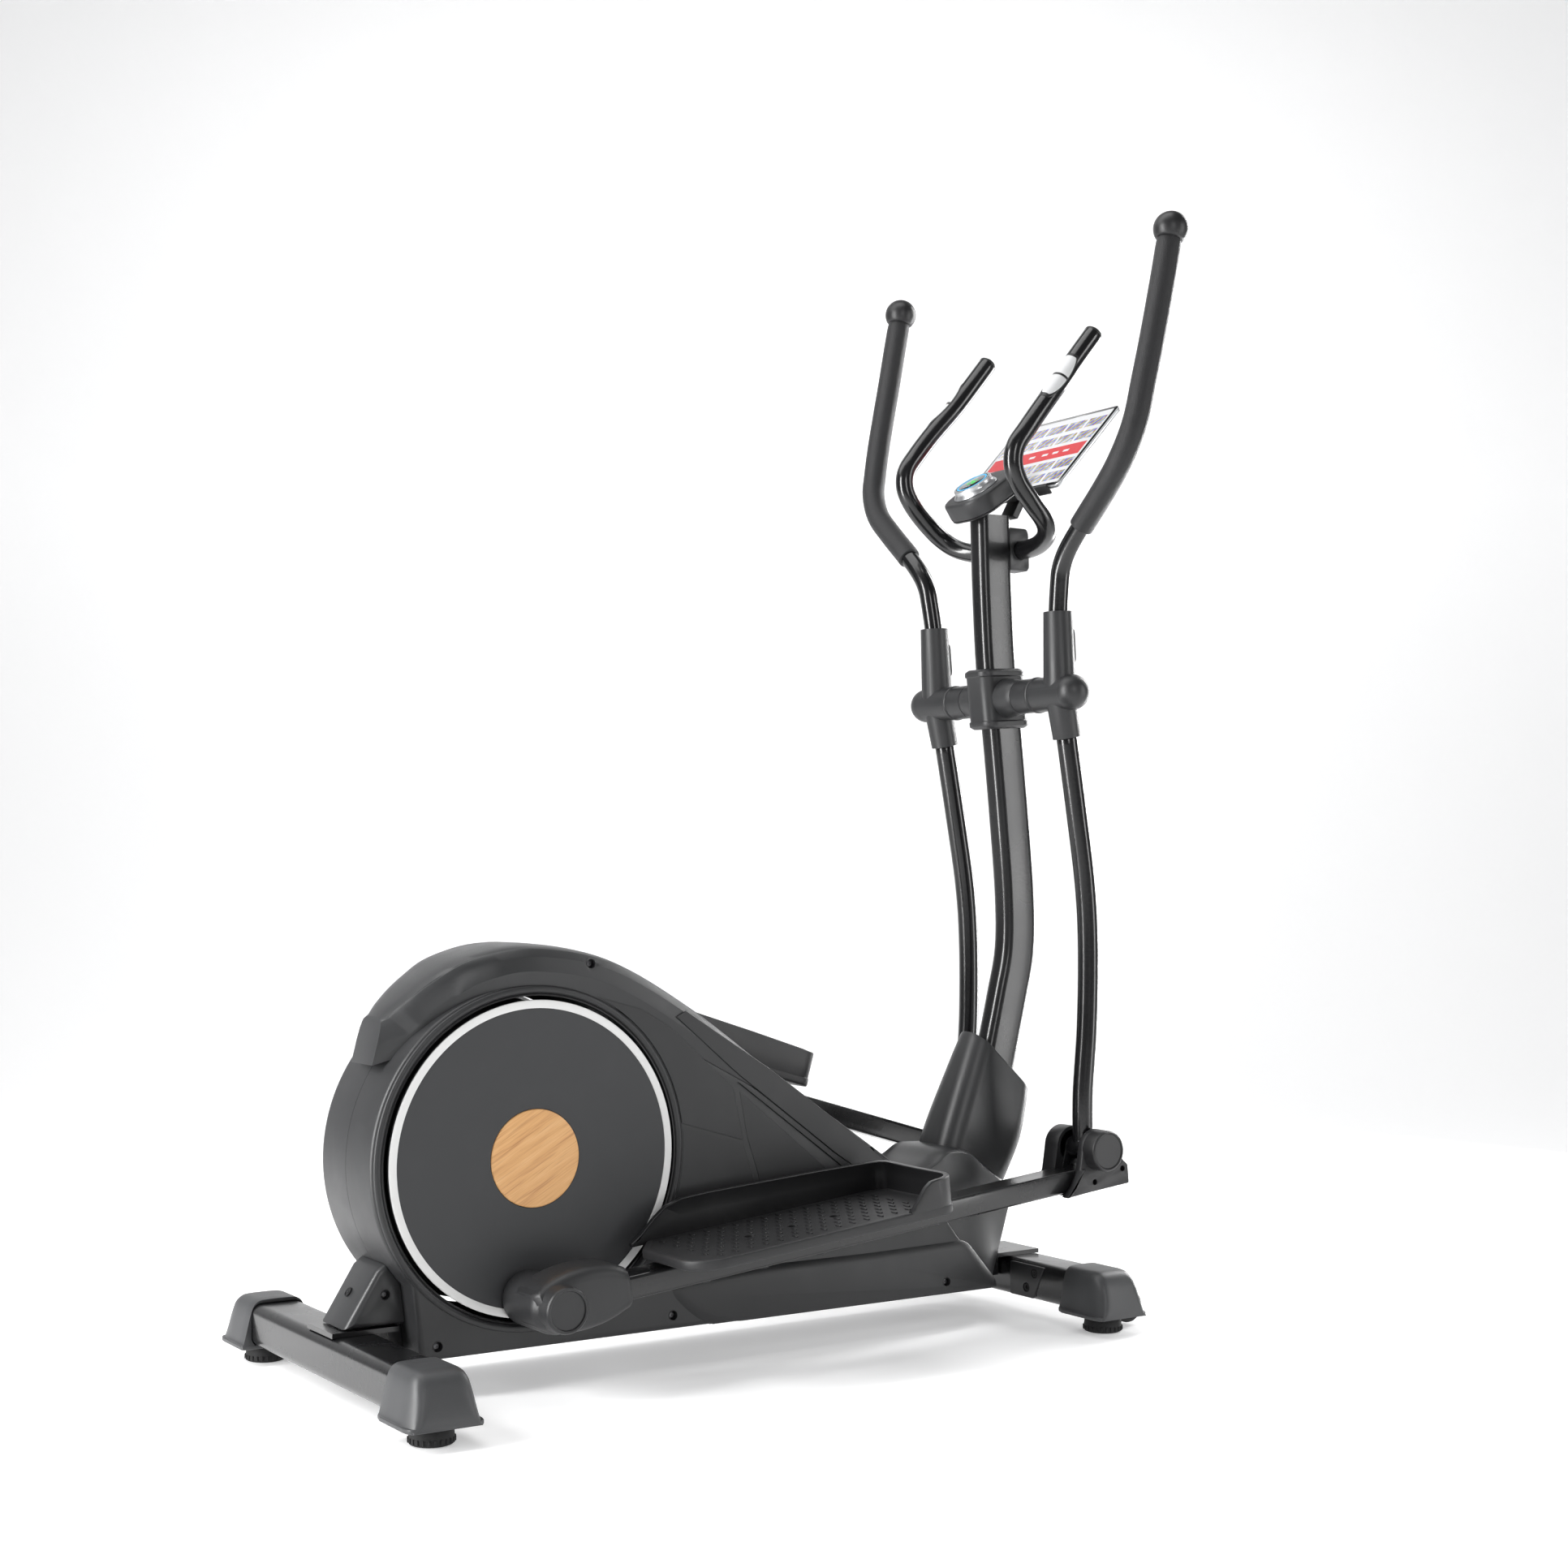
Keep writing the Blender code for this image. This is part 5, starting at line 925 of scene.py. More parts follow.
def build_fixed_handlebar():
    half = [Vector((x, -y, z)) for x, y, z in HANDLEBAR]
    line = smooth(half + [Vector((p.x, -p.y, p.z)) for p in reversed(half[:-1])], 6)
    make("fixed_handlebar_tube", sweep(line, circle(0.014, 36)), "paint", "frame", "fixed_handlebar",
         bevel=0.001,
         angle=60)
    outline = rounded([(0.8066, 1.090), (0.855, 1.090), (0.859, 1.096), (0.857, 1.148), (0.853, 1.154),
                       (0.8066, 1.154)], 0.004)
    short = [p for p in line if abs(p.y) < 0.06]
    make("handlebar_saddle", prism(outline, [(-0.0160, 0.003), (-0.0148, 0.0006), (-0.013, 0), (0.013, 0),
                                             (0.0148, 0.0006), (0.0160, 0.003)]), "grey", "frame",
         "handlebar_clamp",
         cuts=[mast_solid(0.0002), sweep(short, circle(0.0142, 36))], bevel=0.0006)
    bolts = [(0.8592, y, z) for y in (-0.008, 0.008) for z in (1.100, 1.143)]
    repeat("clamp_screws", ROUND_HEADS, [(-z, y, x) for x, y, z in bolts],
           "screw", "frame", {"Radius": 0.0035, "Depth": 0.002},
           turn=Matrix.Rotation(math.radians(90), 4, "Y"))
    for side, sign in SIDES.items():
        one = smooth([Vector((x, sign * y, z)) for x, y, z in HANDLEBAR], 6)
        lengths = [line_length(one[:i + 1]) for i in range(len(one))]
        patches = ((0.0620, 0.0985, "plate_upper"), (0.1035, 0.1440, "plate_lower"))
        for part, (start, end, name) in enumerate(patches):
            nodes = (f"{side}_pulse_sensor",) if part == 0 else ()
            # Pale plates: painted reflection of the bright studio.
            make(f"{side}_pulse_{name}", sensor_patch(one, lengths, start, end, sign, 0.01420, 0.01575),
                 "pulse_painted_reflection",
                 "frame", *nodes, sharp=40)
        make(f"{side}_pulse_band", sensor_patch(one, lengths, 0.0560, 0.1500, sign, 0.0139, 0.01475, 1.16),
             "black",
             "frame", sharp=40)
        tip = one[0]
        out = (one[0] - one[1]).normalized()
        plug = lathe([(0, -0.010), (0.0125, -0.010), (0.0142, 0.0002), (0.0140, 0.0026), (0.0112, 0.0048),
                      (0.0058, 0.0058),
                      (0, 0.0060)], 40)
        plug.transform(Matrix.Translation(tip)
                       @ Vector((0, 1, 0)).rotation_difference(out).to_matrix().to_4x4())
        make(f"{side}_bar_end_plug", plug, "black", "frame", sharp=60)


# ---------------------------------------------------------------- console
def build_console():
    outline = [(u + 0.007, v) for u, v in rounded_rectangle(0.110, 0.096, 0.036, 12)]
    make("console_pod", tilted_slab(outline,
                                    [(-0.0272, 0.0022), (-0.0262, 0.0008), (-0.0240, 0), (-0.0040, 0),
                                              (-0.0014, 0.0008), (-0.0002, 0.0030), (0, 0.0060)], pod_point),
         "charcoal", "frame", "console_housing", sharp=50)
    make("console_floor", tilted_slab(outline, [(-0.0300, 0.0024), (-0.0285, 0.0010), (-0.0275, 0.0010)],
                                      pod_point),
         "black", "frame", "console_base", sharp=50)
    turn = Matrix.Translation(pod_point(0, 0)) @ Matrix.Rotation(math.radians(-POD_TILT), 4, "Y") \
        @ Matrix.Rotation(math.radians(90), 4, "X")
    place = MACHINE @ turn
    flare = [(0.0262, 0.0125), (0.0298, 0.0122), (0.0304, 0.0112), (0.0304, 0.0068), (0.0312, 0.0048),
             (0.0345, 0.0018), (0.0352, 0.0006), (0.0340, 0.0002), (0.0100, 0.0002), (0.0100, 0.0036),
             (0.0262, 0.0040)]
    make("dial_ring", lathe(flare, 128), "aluminium", "dial", "resistance_dial", place=place, bevel=0.0003,
         steps=2)
    face = [(0, 0.0068), (0.0254, 0.0068), (0.0254, 0.0116), (0.0246, 0.0124), (0, 0.0124)]
    make("dial_display", lathe(face, 96), "glass", "frame", "console_display", place=place, bevel=0.0002,
         steps=2)
    glow = [(0.0222, 0.0120), (0.0248, 0.0120), (0.0248, 0.01262), (0.0222, 0.01262)]
    make("dial_light_ring", lathe(glow, 96), "cyan", "frame", place=place, bevel=0.0002, steps=1)
    build_digits(MACHINE @ Matrix.Translation(pod_point(0, 0.01255))
                 @ Matrix.Rotation(math.radians(-POD_TILT), 4, "Y"))


def build_digits(place):
    """Two digits of a seven-bar counter and a small unit bar below them."""
    bars = {"a": (0, 1, "flat"), "b": (1, 0.5, "tall"), "c": (1, -0.5, "tall"), "d": (0, -1, "flat"),
            "e": (-1, -0.5, "tall"), "f": (-1, 0.5, "tall"), "g": (0, 0, "flat")}
    flats, talls = [], []
    for digit, centre in (("abged", 0.0050), ("afgecd", -0.0050)):
        for letter in digit:
            across, up, kind = bars[letter]
            spot = (0.0052 * up + 0.001, centre - 0.0028 * across, 0.0)
            (flats if kind == "flat" else talls).append(spot)
    repeat("counter_flat_bars", BLOCKS, flats, "green", "frame",
           {"Length": 0.0011, "Width": 0.0044, "Height": 0.0003},
           place=place, bevel=0.0)
    repeat("counter_tall_bars", BLOCKS, talls, "green", "frame",
           {"Length": 0.0042, "Width": 0.0011, "Height": 0.0003},
           place=place, bevel=0.0)
    repeat("counter_marks", BLOCKS, [(-0.0125, y, 0.0) for y in (-0.006, 0.0, 0.006)] + [(0.0125, 0.0, 0.0)],
           "white_screen", "frame", {"Length": 0.0009, "Width": 0.0036, "Height": 0.0003}, place=place,
           bevel=0.0)


# ---------------------------------------------------------------- tablet and its rest
def build_tablet():
    width, length = 0.240, 0.178
    outline = [(u + length / 2, v) for u, v in rounded_rectangle(length, width, 0.010, 8)]
    make("tablet_case", tilted_slab(outline,
                                    [(-0.0075, 0.0022), (-0.0070, 0.0009), (-0.0058, 0.0001), (-0.0018, 0),
                                              (-0.0008, 0.0005), (-0.0005, 0.0012)], tablet_point),
         "aluminium",
         "tablet", "tablet", sharp=50)
    make("tablet_glass", tilted_slab(inset(outline, 0.0014), [(-0.0008, 0), (-0.0002, 0), (0, 0.0004)],
                                     tablet_point),
         "glass", "tablet", sharp=50)
    pane = [(u + length / 2, v) for u, v in rounded_rectangle(length - 0.0150, width - 0.0150, 0.002, 3)]
    make("tablet_picture", tilted_slab(pane, [(-0.0004, 0), (0.00010, 0)], tablet_point), "white_screen",
         "tablet")
    place = (MACHINE @ Matrix.Translation(tablet_point(0, 0.00012))
             @ Matrix.Rotation(math.radians(-TABLET_TILT), 4, "Y"))
    rows, across = (0.0245, 0.0530, 0.1170, 0.1470), np.linspace(-0.0895, 0.0895, 5)
    spots = [(row, column, 0.0) for row in rows for column in across]
    repeat("tablet_tiles", BLOCKS, spots, "tiles", "tablet",
           {"Length": 0.0200, "Width": 0.0385, "Height": 0.00025},
           place=place, bevel=0.0)
    repeat("tablet_banner", BLOCKS, [(0.0850, 0.0, 0.0)], "red_banner", "tablet",
           {"Length": 0.0280, "Width": 0.2150, "Height": 0.00022}, place=place, bevel=0.0)
    repeat("banner_dashes", BLOCKS, [(0.0850, y, 0.0) for y in (-0.070, -0.046, -0.022, 0.008)],
           "white_screen",
           "tablet", {"Length": 0.0050, "Width": 0.0130, "Height": 0.00045}, place=place, bevel=0.0)
    clear = 0.0081
    back = rounded([(-0.0006, -0.075), (0.120, -0.060), (0.120, 0.060), (-0.0006, 0.075)], 0.012)
    arm_top, arm_foot = tablet_point(0.035, -clear - 0.006), Vector((0.8315, 0, 1.1700))
    arm = [[p + Vector((dx, dy, dz)) for dx, dy, dz in ((-0.005, -0.015, 0.002), (0.005, -0.015, -0.002),
                                                        (0.005, 0.015, -0.002), (-0.005, 0.015, 0.002))]
           for p in (arm_foot, arm_top)]
    pod = [(u + 0.007, v) for u, v in rounded_rectangle(0.110, 0.096, 0.036, 12)]
    make("tablet_back_plate", tilted_slab(back, [(-clear - 0.0040, 0.001), (-clear - 0.0032, 0), (-clear, 0)],
                                          tablet_point), "black", "frame", "tablet_rest",
         joins=[skin_rings(arm)], cuts=[mast_solid(0.0004),
                                        tilted_slab(pod, [(-0.031, -0.001), (0.001, -0.001)],
                                                                       pod_point)], bevel=0.0006)
    ledge = rounded_rectangle(0.0040, 0.196, 0.0018, 5)
    make("tablet_ledge", tilted_slab([(u - 0.0026, v) for u, v in ledge],
                                     [(-clear - 0.0040, 0.0006), (-clear, 0),
                                                                          (0.0034, 0), (0.0040, 0.0008)],
                                     tablet_point), "black", "frame", bevel=0.0004, steps=2)


ROUND_HEADS = repeater("round_heads", "round", (("Radius", 0.003), ("Depth", 0.002)))
BLOCKS = repeater("small_blocks", "block", (("Length", 0.010), ("Width", 0.003), ("Height", 0.001)))


# ---------------------------------------------------------------- base
STABILIZERS = {"rear": (-0.2206, 0.259, 0.070), "front": (0.822, 0.212, 0.066)}


def build_base():
    """Cross tubes, flared end caps, feet, wheels, and the bolted brackets in the middle."""
    low, high = 0.027, 0.081
    for end, (x, foot_y, depth) in STABILIZERS.items():
        reach = foot_y - 0.014
        section = rounded_rectangle(high - low, depth, 0.013, 8)
        middle = (low + high) / 2
        make(f"{end}_cross_tube", sweep([Vector((x, y, middle)) for y in (-reach, reach)], section,
                                        (0, 0, 1)),
             "bar_paint", "frame", f"{end}_stabilizer", sharp=50)
        for side, sign in SIDES.items():
            build_end_cap(end, side, sign, x, foot_y, depth)
            build_foot(end, side, sign, x, foot_y)
            if end == "front":
                build_bracket(side, sign, x - depth / 2)


def build_bracket(side, sign, back):
    """Bolted plate on the front cross tube beside the boot, with two deep screw holes."""
    holes = ((0.1050, 0.0660), (0.0870, 0.0440))
    cuts = [rod((back - 0.01, sign * y, z), (back + 0.0012, sign * y, z), 0.0068, 32) for y, z in holes]
    outline = [(0.050, 0.0300), (0.103, 0.0300), (0.126, 0.0770), (0.050, 0.0770)]
    outline = rounded([(sign * y, z) for y, z in (outline if sign > 0 else reversed(outline))], 0.003)
    plate = skin_rings([[Vector((x, y, z)) for y, z in inset(outline, depth)]
                        for x, depth in ((back + 0.002, 0), (back - 0.0008, 0), (back - 0.0016, 0.0008))])
    make(f"{side}_front_bracket_plate", plate, "black", "frame", cuts=cuts, sharp=40)
    for i, (y, z) in enumerate(holes):
        # The cups are near-black: painted shade down the bracket's screw holes.
        cup = lathe([(0, -0.0002), (0.0030, -0.0002), (0.0034, 0.0008), (0.0052, 0.0008), (0.0056, -0.0002),
                     (0.0066, -0.0002), (0.0067, 0.0016), (0.0069, 0.0016), (0.0069, -0.0012),
                     (0, -0.0012)], 32)
        cup.transform(Matrix.Translation((back - 0.0002, sign * y, z))
                      @ Matrix.Rotation(math.radians(90), 4, "Z"))
        make(f"{side}_bracket_screw_{i + 1}", cup, "hollow", "frame")


def build_end_cap(end, side, sign, x, foot_y, depth):
    tip, scale = foot_y + 0.046, depth / 0.070
    stations = ((0.0000, 1.00, 1.000), (0.0200, 1.00, 1.000), (0.0500, 1.00, 1.0), (0.0600, 0.99, 0.985),
                (0.0680, 0.97, 0.93), (0.0745, 0.945, 0.82), (0.0800, 0.92, 0.66), (0.0845, 0.90, 0.46),
                (0.0872, 0.885, 0.27), (0.0880, 0.88, 0.15))
    profile = smooth([(-0.0470, 0.0245), (-0.0475, 0.0290), (-0.0456, 0.0330), (-0.0415, 0.0500),
                      (-0.0372, 0.0680),
                      (-0.0330, 0.0790), (-0.0262, 0.0848), (-0.0150, 0.0864), (0.0150, 0.0864),
                      (0.0262, 0.0848),
                      (0.0330, 0.0790), (0.0372, 0.0680), (0.0415, 0.0500), (0.0456, 0.0330),
                      (0.0475, 0.0290),
                      (0.0470, 0.0245)], 4)
    rings = []
    for out, wide, tall in stations:
        y = sign * (tip - 0.088 + out)
        rings.append([Vector((x + u * scale * wide, y, 0.0236 + (v - 0.0236) * tall)) for u, v in profile])
    pocket = rounded_rectangle(0.056, depth + 0.001, 0.013, 8)
    cuts = [sweep([Vector((x, sign * y, 0.054)) for y in (tip - 0.098, foot_y - 0.0135)], pocket, (0, 0, 1))]
    make(f"{end}_{side}_cap", skin_rings(rings), "cap", "frame", f"{end}_end_cap_{side}", cuts=cuts,
         bevel=0.0012,
         angle=50, sharp=40)
    skirt = [(x + u * scale, sign * y) for u, y in
             ((-0.0485, tip - 0.0885), (0.0485, tip - 0.0885), (0.0485, tip - 0.014), (0.0440, tip - 0.001),
              (-0.0440, tip - 0.001), (-0.0485, tip - 0.014))]
    if sign < 0:
        skirt.reverse()
    make(f"{end}_{side}_cap_skirt", slab(rounded(skirt, 0.009, 5),
                                         [(0.0232, 0.0012), (0.0242, 0), (0.0282, 0),
                                                                   (0.0290, 0.0010)]), "cap", "frame",
         cuts=[rod((x, sign * foot_y, 0.01), (x, sign * foot_y, 0.04), 0.0056, 32)], bevel=0.0005, steps=2)
    if end == "front":
        wheel_x, wheel_y, wheel_z = x + 0.057, foot_y - 0.017, 0.0265
        for part, offset in enumerate((-0.0145, 0.0145)):
            fork = rounded([(x + 0.030, 0.0245), (wheel_x + 0.009, 0.0205), (wheel_x + 0.010, 0.034),
                            (wheel_x - 0.004, 0.048), (x + 0.030, 0.052)], 0.005)
            y = sign * wheel_y + offset
            make(f"{side}_wheel_fork_{part + 1}", prism(fork, [(y - 0.0022, 0), (y + 0.0022, 0)]), "black",
                 "frame",
                 bevel=0.0006, steps=2)
        make(f"{side}_wheel_pin", rod((wheel_x, sign * wheel_y - 0.0180, wheel_z),
                                      (wheel_x, sign * wheel_y + 0.0180, wheel_z), 0.0038, 24), "screw",
             "frame",
             bevel=0.0006, steps=2)
        tyre = [(0.0043, -0.0085), (0.0085, -0.0100), (0.0150, -0.0075), (0.0190, -0.0100), (0.0222, -0.0094),
                (0.0234, -0.0060), (0.0235, 0.0), (0.0234, 0.0060), (0.0222, 0.0094), (0.0190, 0.0100),
                (0.0150, 0.0075), (0.0085, 0.0100), (0.0043, 0.0085)]
        make(f"{side}_transport_tyre", moved(lathe(tyre, 64), (wheel_x, sign * wheel_y, wheel_z)), "rubber",
             f"wheel_{side}", f"transport_wheel_{side}", bevel=0.0005, steps=2, sharp=45)


def build_foot(end, side, sign, x, foot_y):
    profile = [(0, 0), (0.0232, 0), (0.0252, 0.0008), (0.0262, 0.0026), (0.0264, 0.0060), (0.0258, 0.0125),
               (0.0250, 0.0180), (0.0225, 0.0212), (0.0060, 0.0216), (0.0050, 0.0220), (0.0050, 0.0300),
               (0, 0.0300)]
    mesh = lathe(profile, 64)
    mesh.transform(Matrix.Translation((x, sign * foot_y, 0)) @ Matrix.Rotation(math.radians(90), 4, "X"))
    make(f"{end}_{side}_levelling_foot", mesh, "rubber", f"{end}_foot_{side}", f"{end}_foot_{side}", sharp=32)
    ribs = [(x + 0.0265 * math.cos(a), sign * foot_y + 0.0265 * math.sin(a), 0.0055)
            for a in np.linspace(0, math.tau, 25)[:-1]]
    repeat(f"{end}_{side}_foot_ribs", BLOCKS, ribs, "rubber", f"{end}_foot_{side}",
           {"Length": 0.0022, "Width": 0.0022, "Height": 0.0058}, bevel=0.0004)


# ---------------------------------------------------------------- crank discs
def build_crank():
    place = MACHINE @ Matrix.Translation((0, 0, CRANK_Z))
    for side, sign in SIDES.items():
        face = 0.0824
        plate = [(0.0130, 0.058), (0.0220, 0.058), (0.0220, 0.0766), (0.1960, 0.0766), (0.1976, 0.0776),
                 (0.1976, 0.0812), (0.1966, 0.0820), (0.1872, 0.0820), (0.1866, face), (0.0626, face),
                 (0.0616, face - 0.0006), (0.0616, 0.0798), (0.0130, 0.0798)]
        make(f"{side}_disc_plate", lathe([(r, sign * y) for r, y in plate], 192), "disc", "crank",
             f"{side}_crank_disc", place=place, sharp=30)
        ring = [(0.1871, 0.0812), (0.1974, 0.0812), (0.1977, 0.0820), (0.1972, 0.0829), (0.1960, 0.0833),
                (0.1930, 0.08345), (0.1885, 0.0833), (0.1873, 0.0829)]
        make(f"{side}_light_ring", lathe([(r, sign * y) for r, y in ring], 192), "ring", "crank", place=place,
             sharp=50)
        hub = [(0, 0.0800), (0.0612, 0.0800), (0.0612, 0.0824), (0.0606, 0.0830), (0.0590, 0.0832),
               (0, 0.0833)]
        make(f"{side}_bamboo_hub", lathe([(r, sign * y) for r, y in hub], 128), "bamboo", "crank",
             f"{side}_hub_cover", place=place, sharp=50)


# ---------------------------------------------------------------- swing arms
HANDLE = ((0.0010, ARM_Y, 0.0700), (0.0020, ARM_Y, 0.0950), (0.0036, ARM_Y + 0.0010, 0.1168),
          (0.0042, 0.1510, 0.1555), (0.0048, 0.1565, 0.1790), (0.0058, 0.1710, 0.2027),
          (0.0076, 0.2020, 0.2346), (0.0090, 0.2460, 0.2747), (0.0105, 0.2780, 0.3077),
          (0.0178, 0.2970, 0.3432), (0.0284, 0.3035, 0.3767), (0.0412, 0.3060, 0.4220),
          (0.0572, 0.3075, 0.4741), (0.0732, 0.3080, 0.5272), (0.0888, 0.3085, 0.5809),
          (0.1044, 0.3080, 0.6350))
SLEEVE_TOP, SLEEVE_FOOT, ARM_LENGTH = 0.1168, 0.0642, 0.6525


GRIP_LENGTH, GRIP_STOP, FOAM_RADIUS = 0.455, 0.012, 0.0176
BALL_RADIUS, BALL_FOOT = 0.0247, 0.0162


def build_arm(side, sign):
    place, body = arm_place(side), f"{side}_arm"
    line = smooth([(x, sign * y, z) for x, y, z in HANDLE], 6)
    dome = arc((0.170, 0), 0.0256, 104, 0, 24)
    profile = [(0.0129, 0.0605), (0.0244, 0.0605), (0.0250, 0.0611)] + [(r, y) for y, r in dome[:-1]] + [
        (0, dome[-1][0]), (0, 0.1640), (0.0129, 0.1640)]
    top, foot = Vector((0.0036, sign * ARM_Y, SLEEVE_TOP)), Vector((0.0086, sign * ARM_Y, -SLEEVE_FOOT))
    centre = Vector((0, sign * ARM_Y, 0))
    bump = rounded([(0.0125, 0.040), (0.0262, 0.044), (0.0275, 0.050), (0.0275, 0.086), (0.0262, 0.092),
                    (0.0125, 0.096)], 0.005, 5)
    make(f"{side}_hub_tee", lathe([(r, sign * y) for r, y in profile], 64), "charcoal", body,
         f"{side}_arm_hub",
         place=place, joins=[rod(centre, top, 0.0237, 48, 0.0208), rod(centre, foot, 0.0215, 48, 0.0200),
                             prism(bump, [(ARM_Y - 0.0095, 0.002), (ARM_Y - 0.0075, 0), (ARM_Y + 0.0075, 0),
                                          (ARM_Y + 0.0095, 0.002)], sign)],
         cuts=[rod(top - (top - centre).normalized() * 0.004, top + (top - centre).normalized() * 0.01,
                   0.0168, 40),
               rod(foot - (foot - centre).normalized() * 0.004, foot + (foot - centre).normalized() * 0.01,
                   0.0172,
                   40)], bevel=0.0014, steps=3, angle=24, sharp=34)
    seam = [(0.0250, 0.0935), (0.0262, 0.0945), (0.0264, 0.0965), (0.0262, 0.0985), (0.0250, 0.0995)]
    make(f"{side}_hub_seam_ring", lathe([(r, sign * y) for r, y in [(0.0244, 0.0930)] + seam
                                         + [(0.0244, 0.1)]], 64),
         "charcoal", body, place=place, sharp=50)
    for end, tip, radius in (("upper", top, 0.0150), ("lower", foot, 0.0156)):
        heading = (tip - centre).normalized()
        collar = lathe([(radius - 0.0006, -0.004), (radius + 0.0018, -0.004), (radius + 0.0020, 0.0002),
                        (radius + 0.0012, 0.0010), (radius - 0.0006, 0.0010)], 48)
        collar.transform(Matrix.Translation(tip - heading * 0.0006)
                         @ Vector((0, 1, 0)).rotation_difference(heading).to_matrix().to_4x4())
        make(f"{side}_{end}_sleeve_liner", collar, "black", body, place=place, sharp=50)
    length = line_length(line)
    grip_start, grip_end = length - GRIP_LENGTH, length - GRIP_STOP
    make(f"{side}_handle_bar", sweep(cut_line(line, 0.001, grip_end), circle(0.014, 40)), "paint", body,
         f"{side}_handle_tube", place=place, sharp=60)
    grip_line = cut_line(line, grip_start, grip_end)
    foam_end = [grip_line[0].lerp(grip_line[1], t) for t in (0.0, 0.12, 0.3, 0.6)]
    dense = foam_end + grip_line[1:]
    factors = [0.92, 0.975, 0.995, 1.0] + [1.0] * (len(grip_line) - 3) + [0.985, 0.95]
    make(f"{side}_foam_grip", sweep(dense, circle(FOAM_RADIUS, 48), (1, 0, 0), factors[:len(dense)]),
         "foam", body,
         f"{side}_handle_grip", place=place, sharp=60)
    heading = (line[-1] - line[-7]).normalized()
    centre = grip_line[-1] + heading * 0.0165
    start = math.degrees(math.acos(-BALL_FOOT / BALL_RADIUS))
    turned = [(radius, along) for along, radius in arc((0, 0), BALL_RADIUS, start, 0, 30)[:-1]]
    ball = lathe([(0, -BALL_FOOT), (0.0168, -BALL_FOOT), (0.0180, -0.0158)] + turned[1:]
                 + [(0, BALL_RADIUS)], 64)
    ball.transform(Matrix.Translation(centre)
                   @ Vector((0, 1, 0)).rotation_difference(heading).to_matrix().to_4x4())
    make(f"{side}_grip_ball", ball, "black", body, f"{side}_grip_cap", place=place, sharp=50)
    swing = smooth([(0.0086, sign * ARM_Y, -SLEEVE_FOOT), (0.0195, sign * ARM_Y, -0.170),
                    (0.0290, sign * ARM_Y, -0.280), (0.0285, sign * ARM_Y, -0.370),
                    (0.0190, sign * ARM_Y, -0.480),
                    (0.0050, sign * ARM_Y, -0.575), (0.0, sign * ARM_Y, -ARM_LENGTH + 0.004)], 10)
    low = Vector((0, sign * ARM_Y, -ARM_LENGTH))
    make(f"{side}_swing_bar", sweep(swing, circle(0.015, 48)), "paint", body, f"{side}_swing_tube",
         place=place,
         joins=[rod(low - Vector((0, 0.0165, 0)), low + Vector((0, 0.0165, 0)), 0.017, 48)],
         cuts=[rod(low - Vector((0, 0.04, 0)), low + Vector((0, 0.04, 0)), 0.0083, 32)], bevel=0.0008,
         steps=2,
         sharp=40)


# ---------------------------------------------------------------- pedal bars
BAR_HALF_WIDTH, BAR_HALF_HEIGHT, BAR_FRONT = 0.022, 0.015, 0.049


def build_bar(side, sign):
    place, body = bar_place(side), f"{side}_pedal"
    arm_y = sign * ARM_Y
    top = -BAR_DROP + BAR_HALF_HEIGHT
    pin = Vector((-BAR_LENGTH, 0, -BAR_DROP))
    ear = rounded(arc((0, 0), 0.0155, 0, 180, 24) + [(-0.026, top - 0.002), (0.026, top - 0.002)], 0.002)
    ears = [prism(ear, [(arm_y + inner, 0), (arm_y + inner + 0.004, 0)])
            for inner in (-BAR_HALF_WIDTH, BAR_HALF_WIDTH - 0.004)]
    section = rounded_rectangle(2 * BAR_HALF_WIDTH, 2 * BAR_HALF_HEIGHT, 0.0045, 6)
    make(f"{side}_bar_tube", sweep([Vector((x, arm_y, -BAR_DROP)) for x in (-BAR_LENGTH, BAR_FRONT)],
                                   section, (0, 1, 0)), "bar_paint", body, f"{side}_pedal_bar", place=place,
         joins=ears + [rod(pin + Vector((0, sign * 0.0845, 0)), pin + Vector((0, arm_y, 0)), 0.0125, 40),
                       rod((0, arm_y - 0.0215, 0), (0, arm_y + 0.0215, 0), 0.008, 32)], sharp=40,
         bevel=0.0006,
         steps=2)
    build_boss(side, sign, pin, place, body)
    build_pivot_cover(side, sign, place, body)
    build_tray(side, sign, place, body)


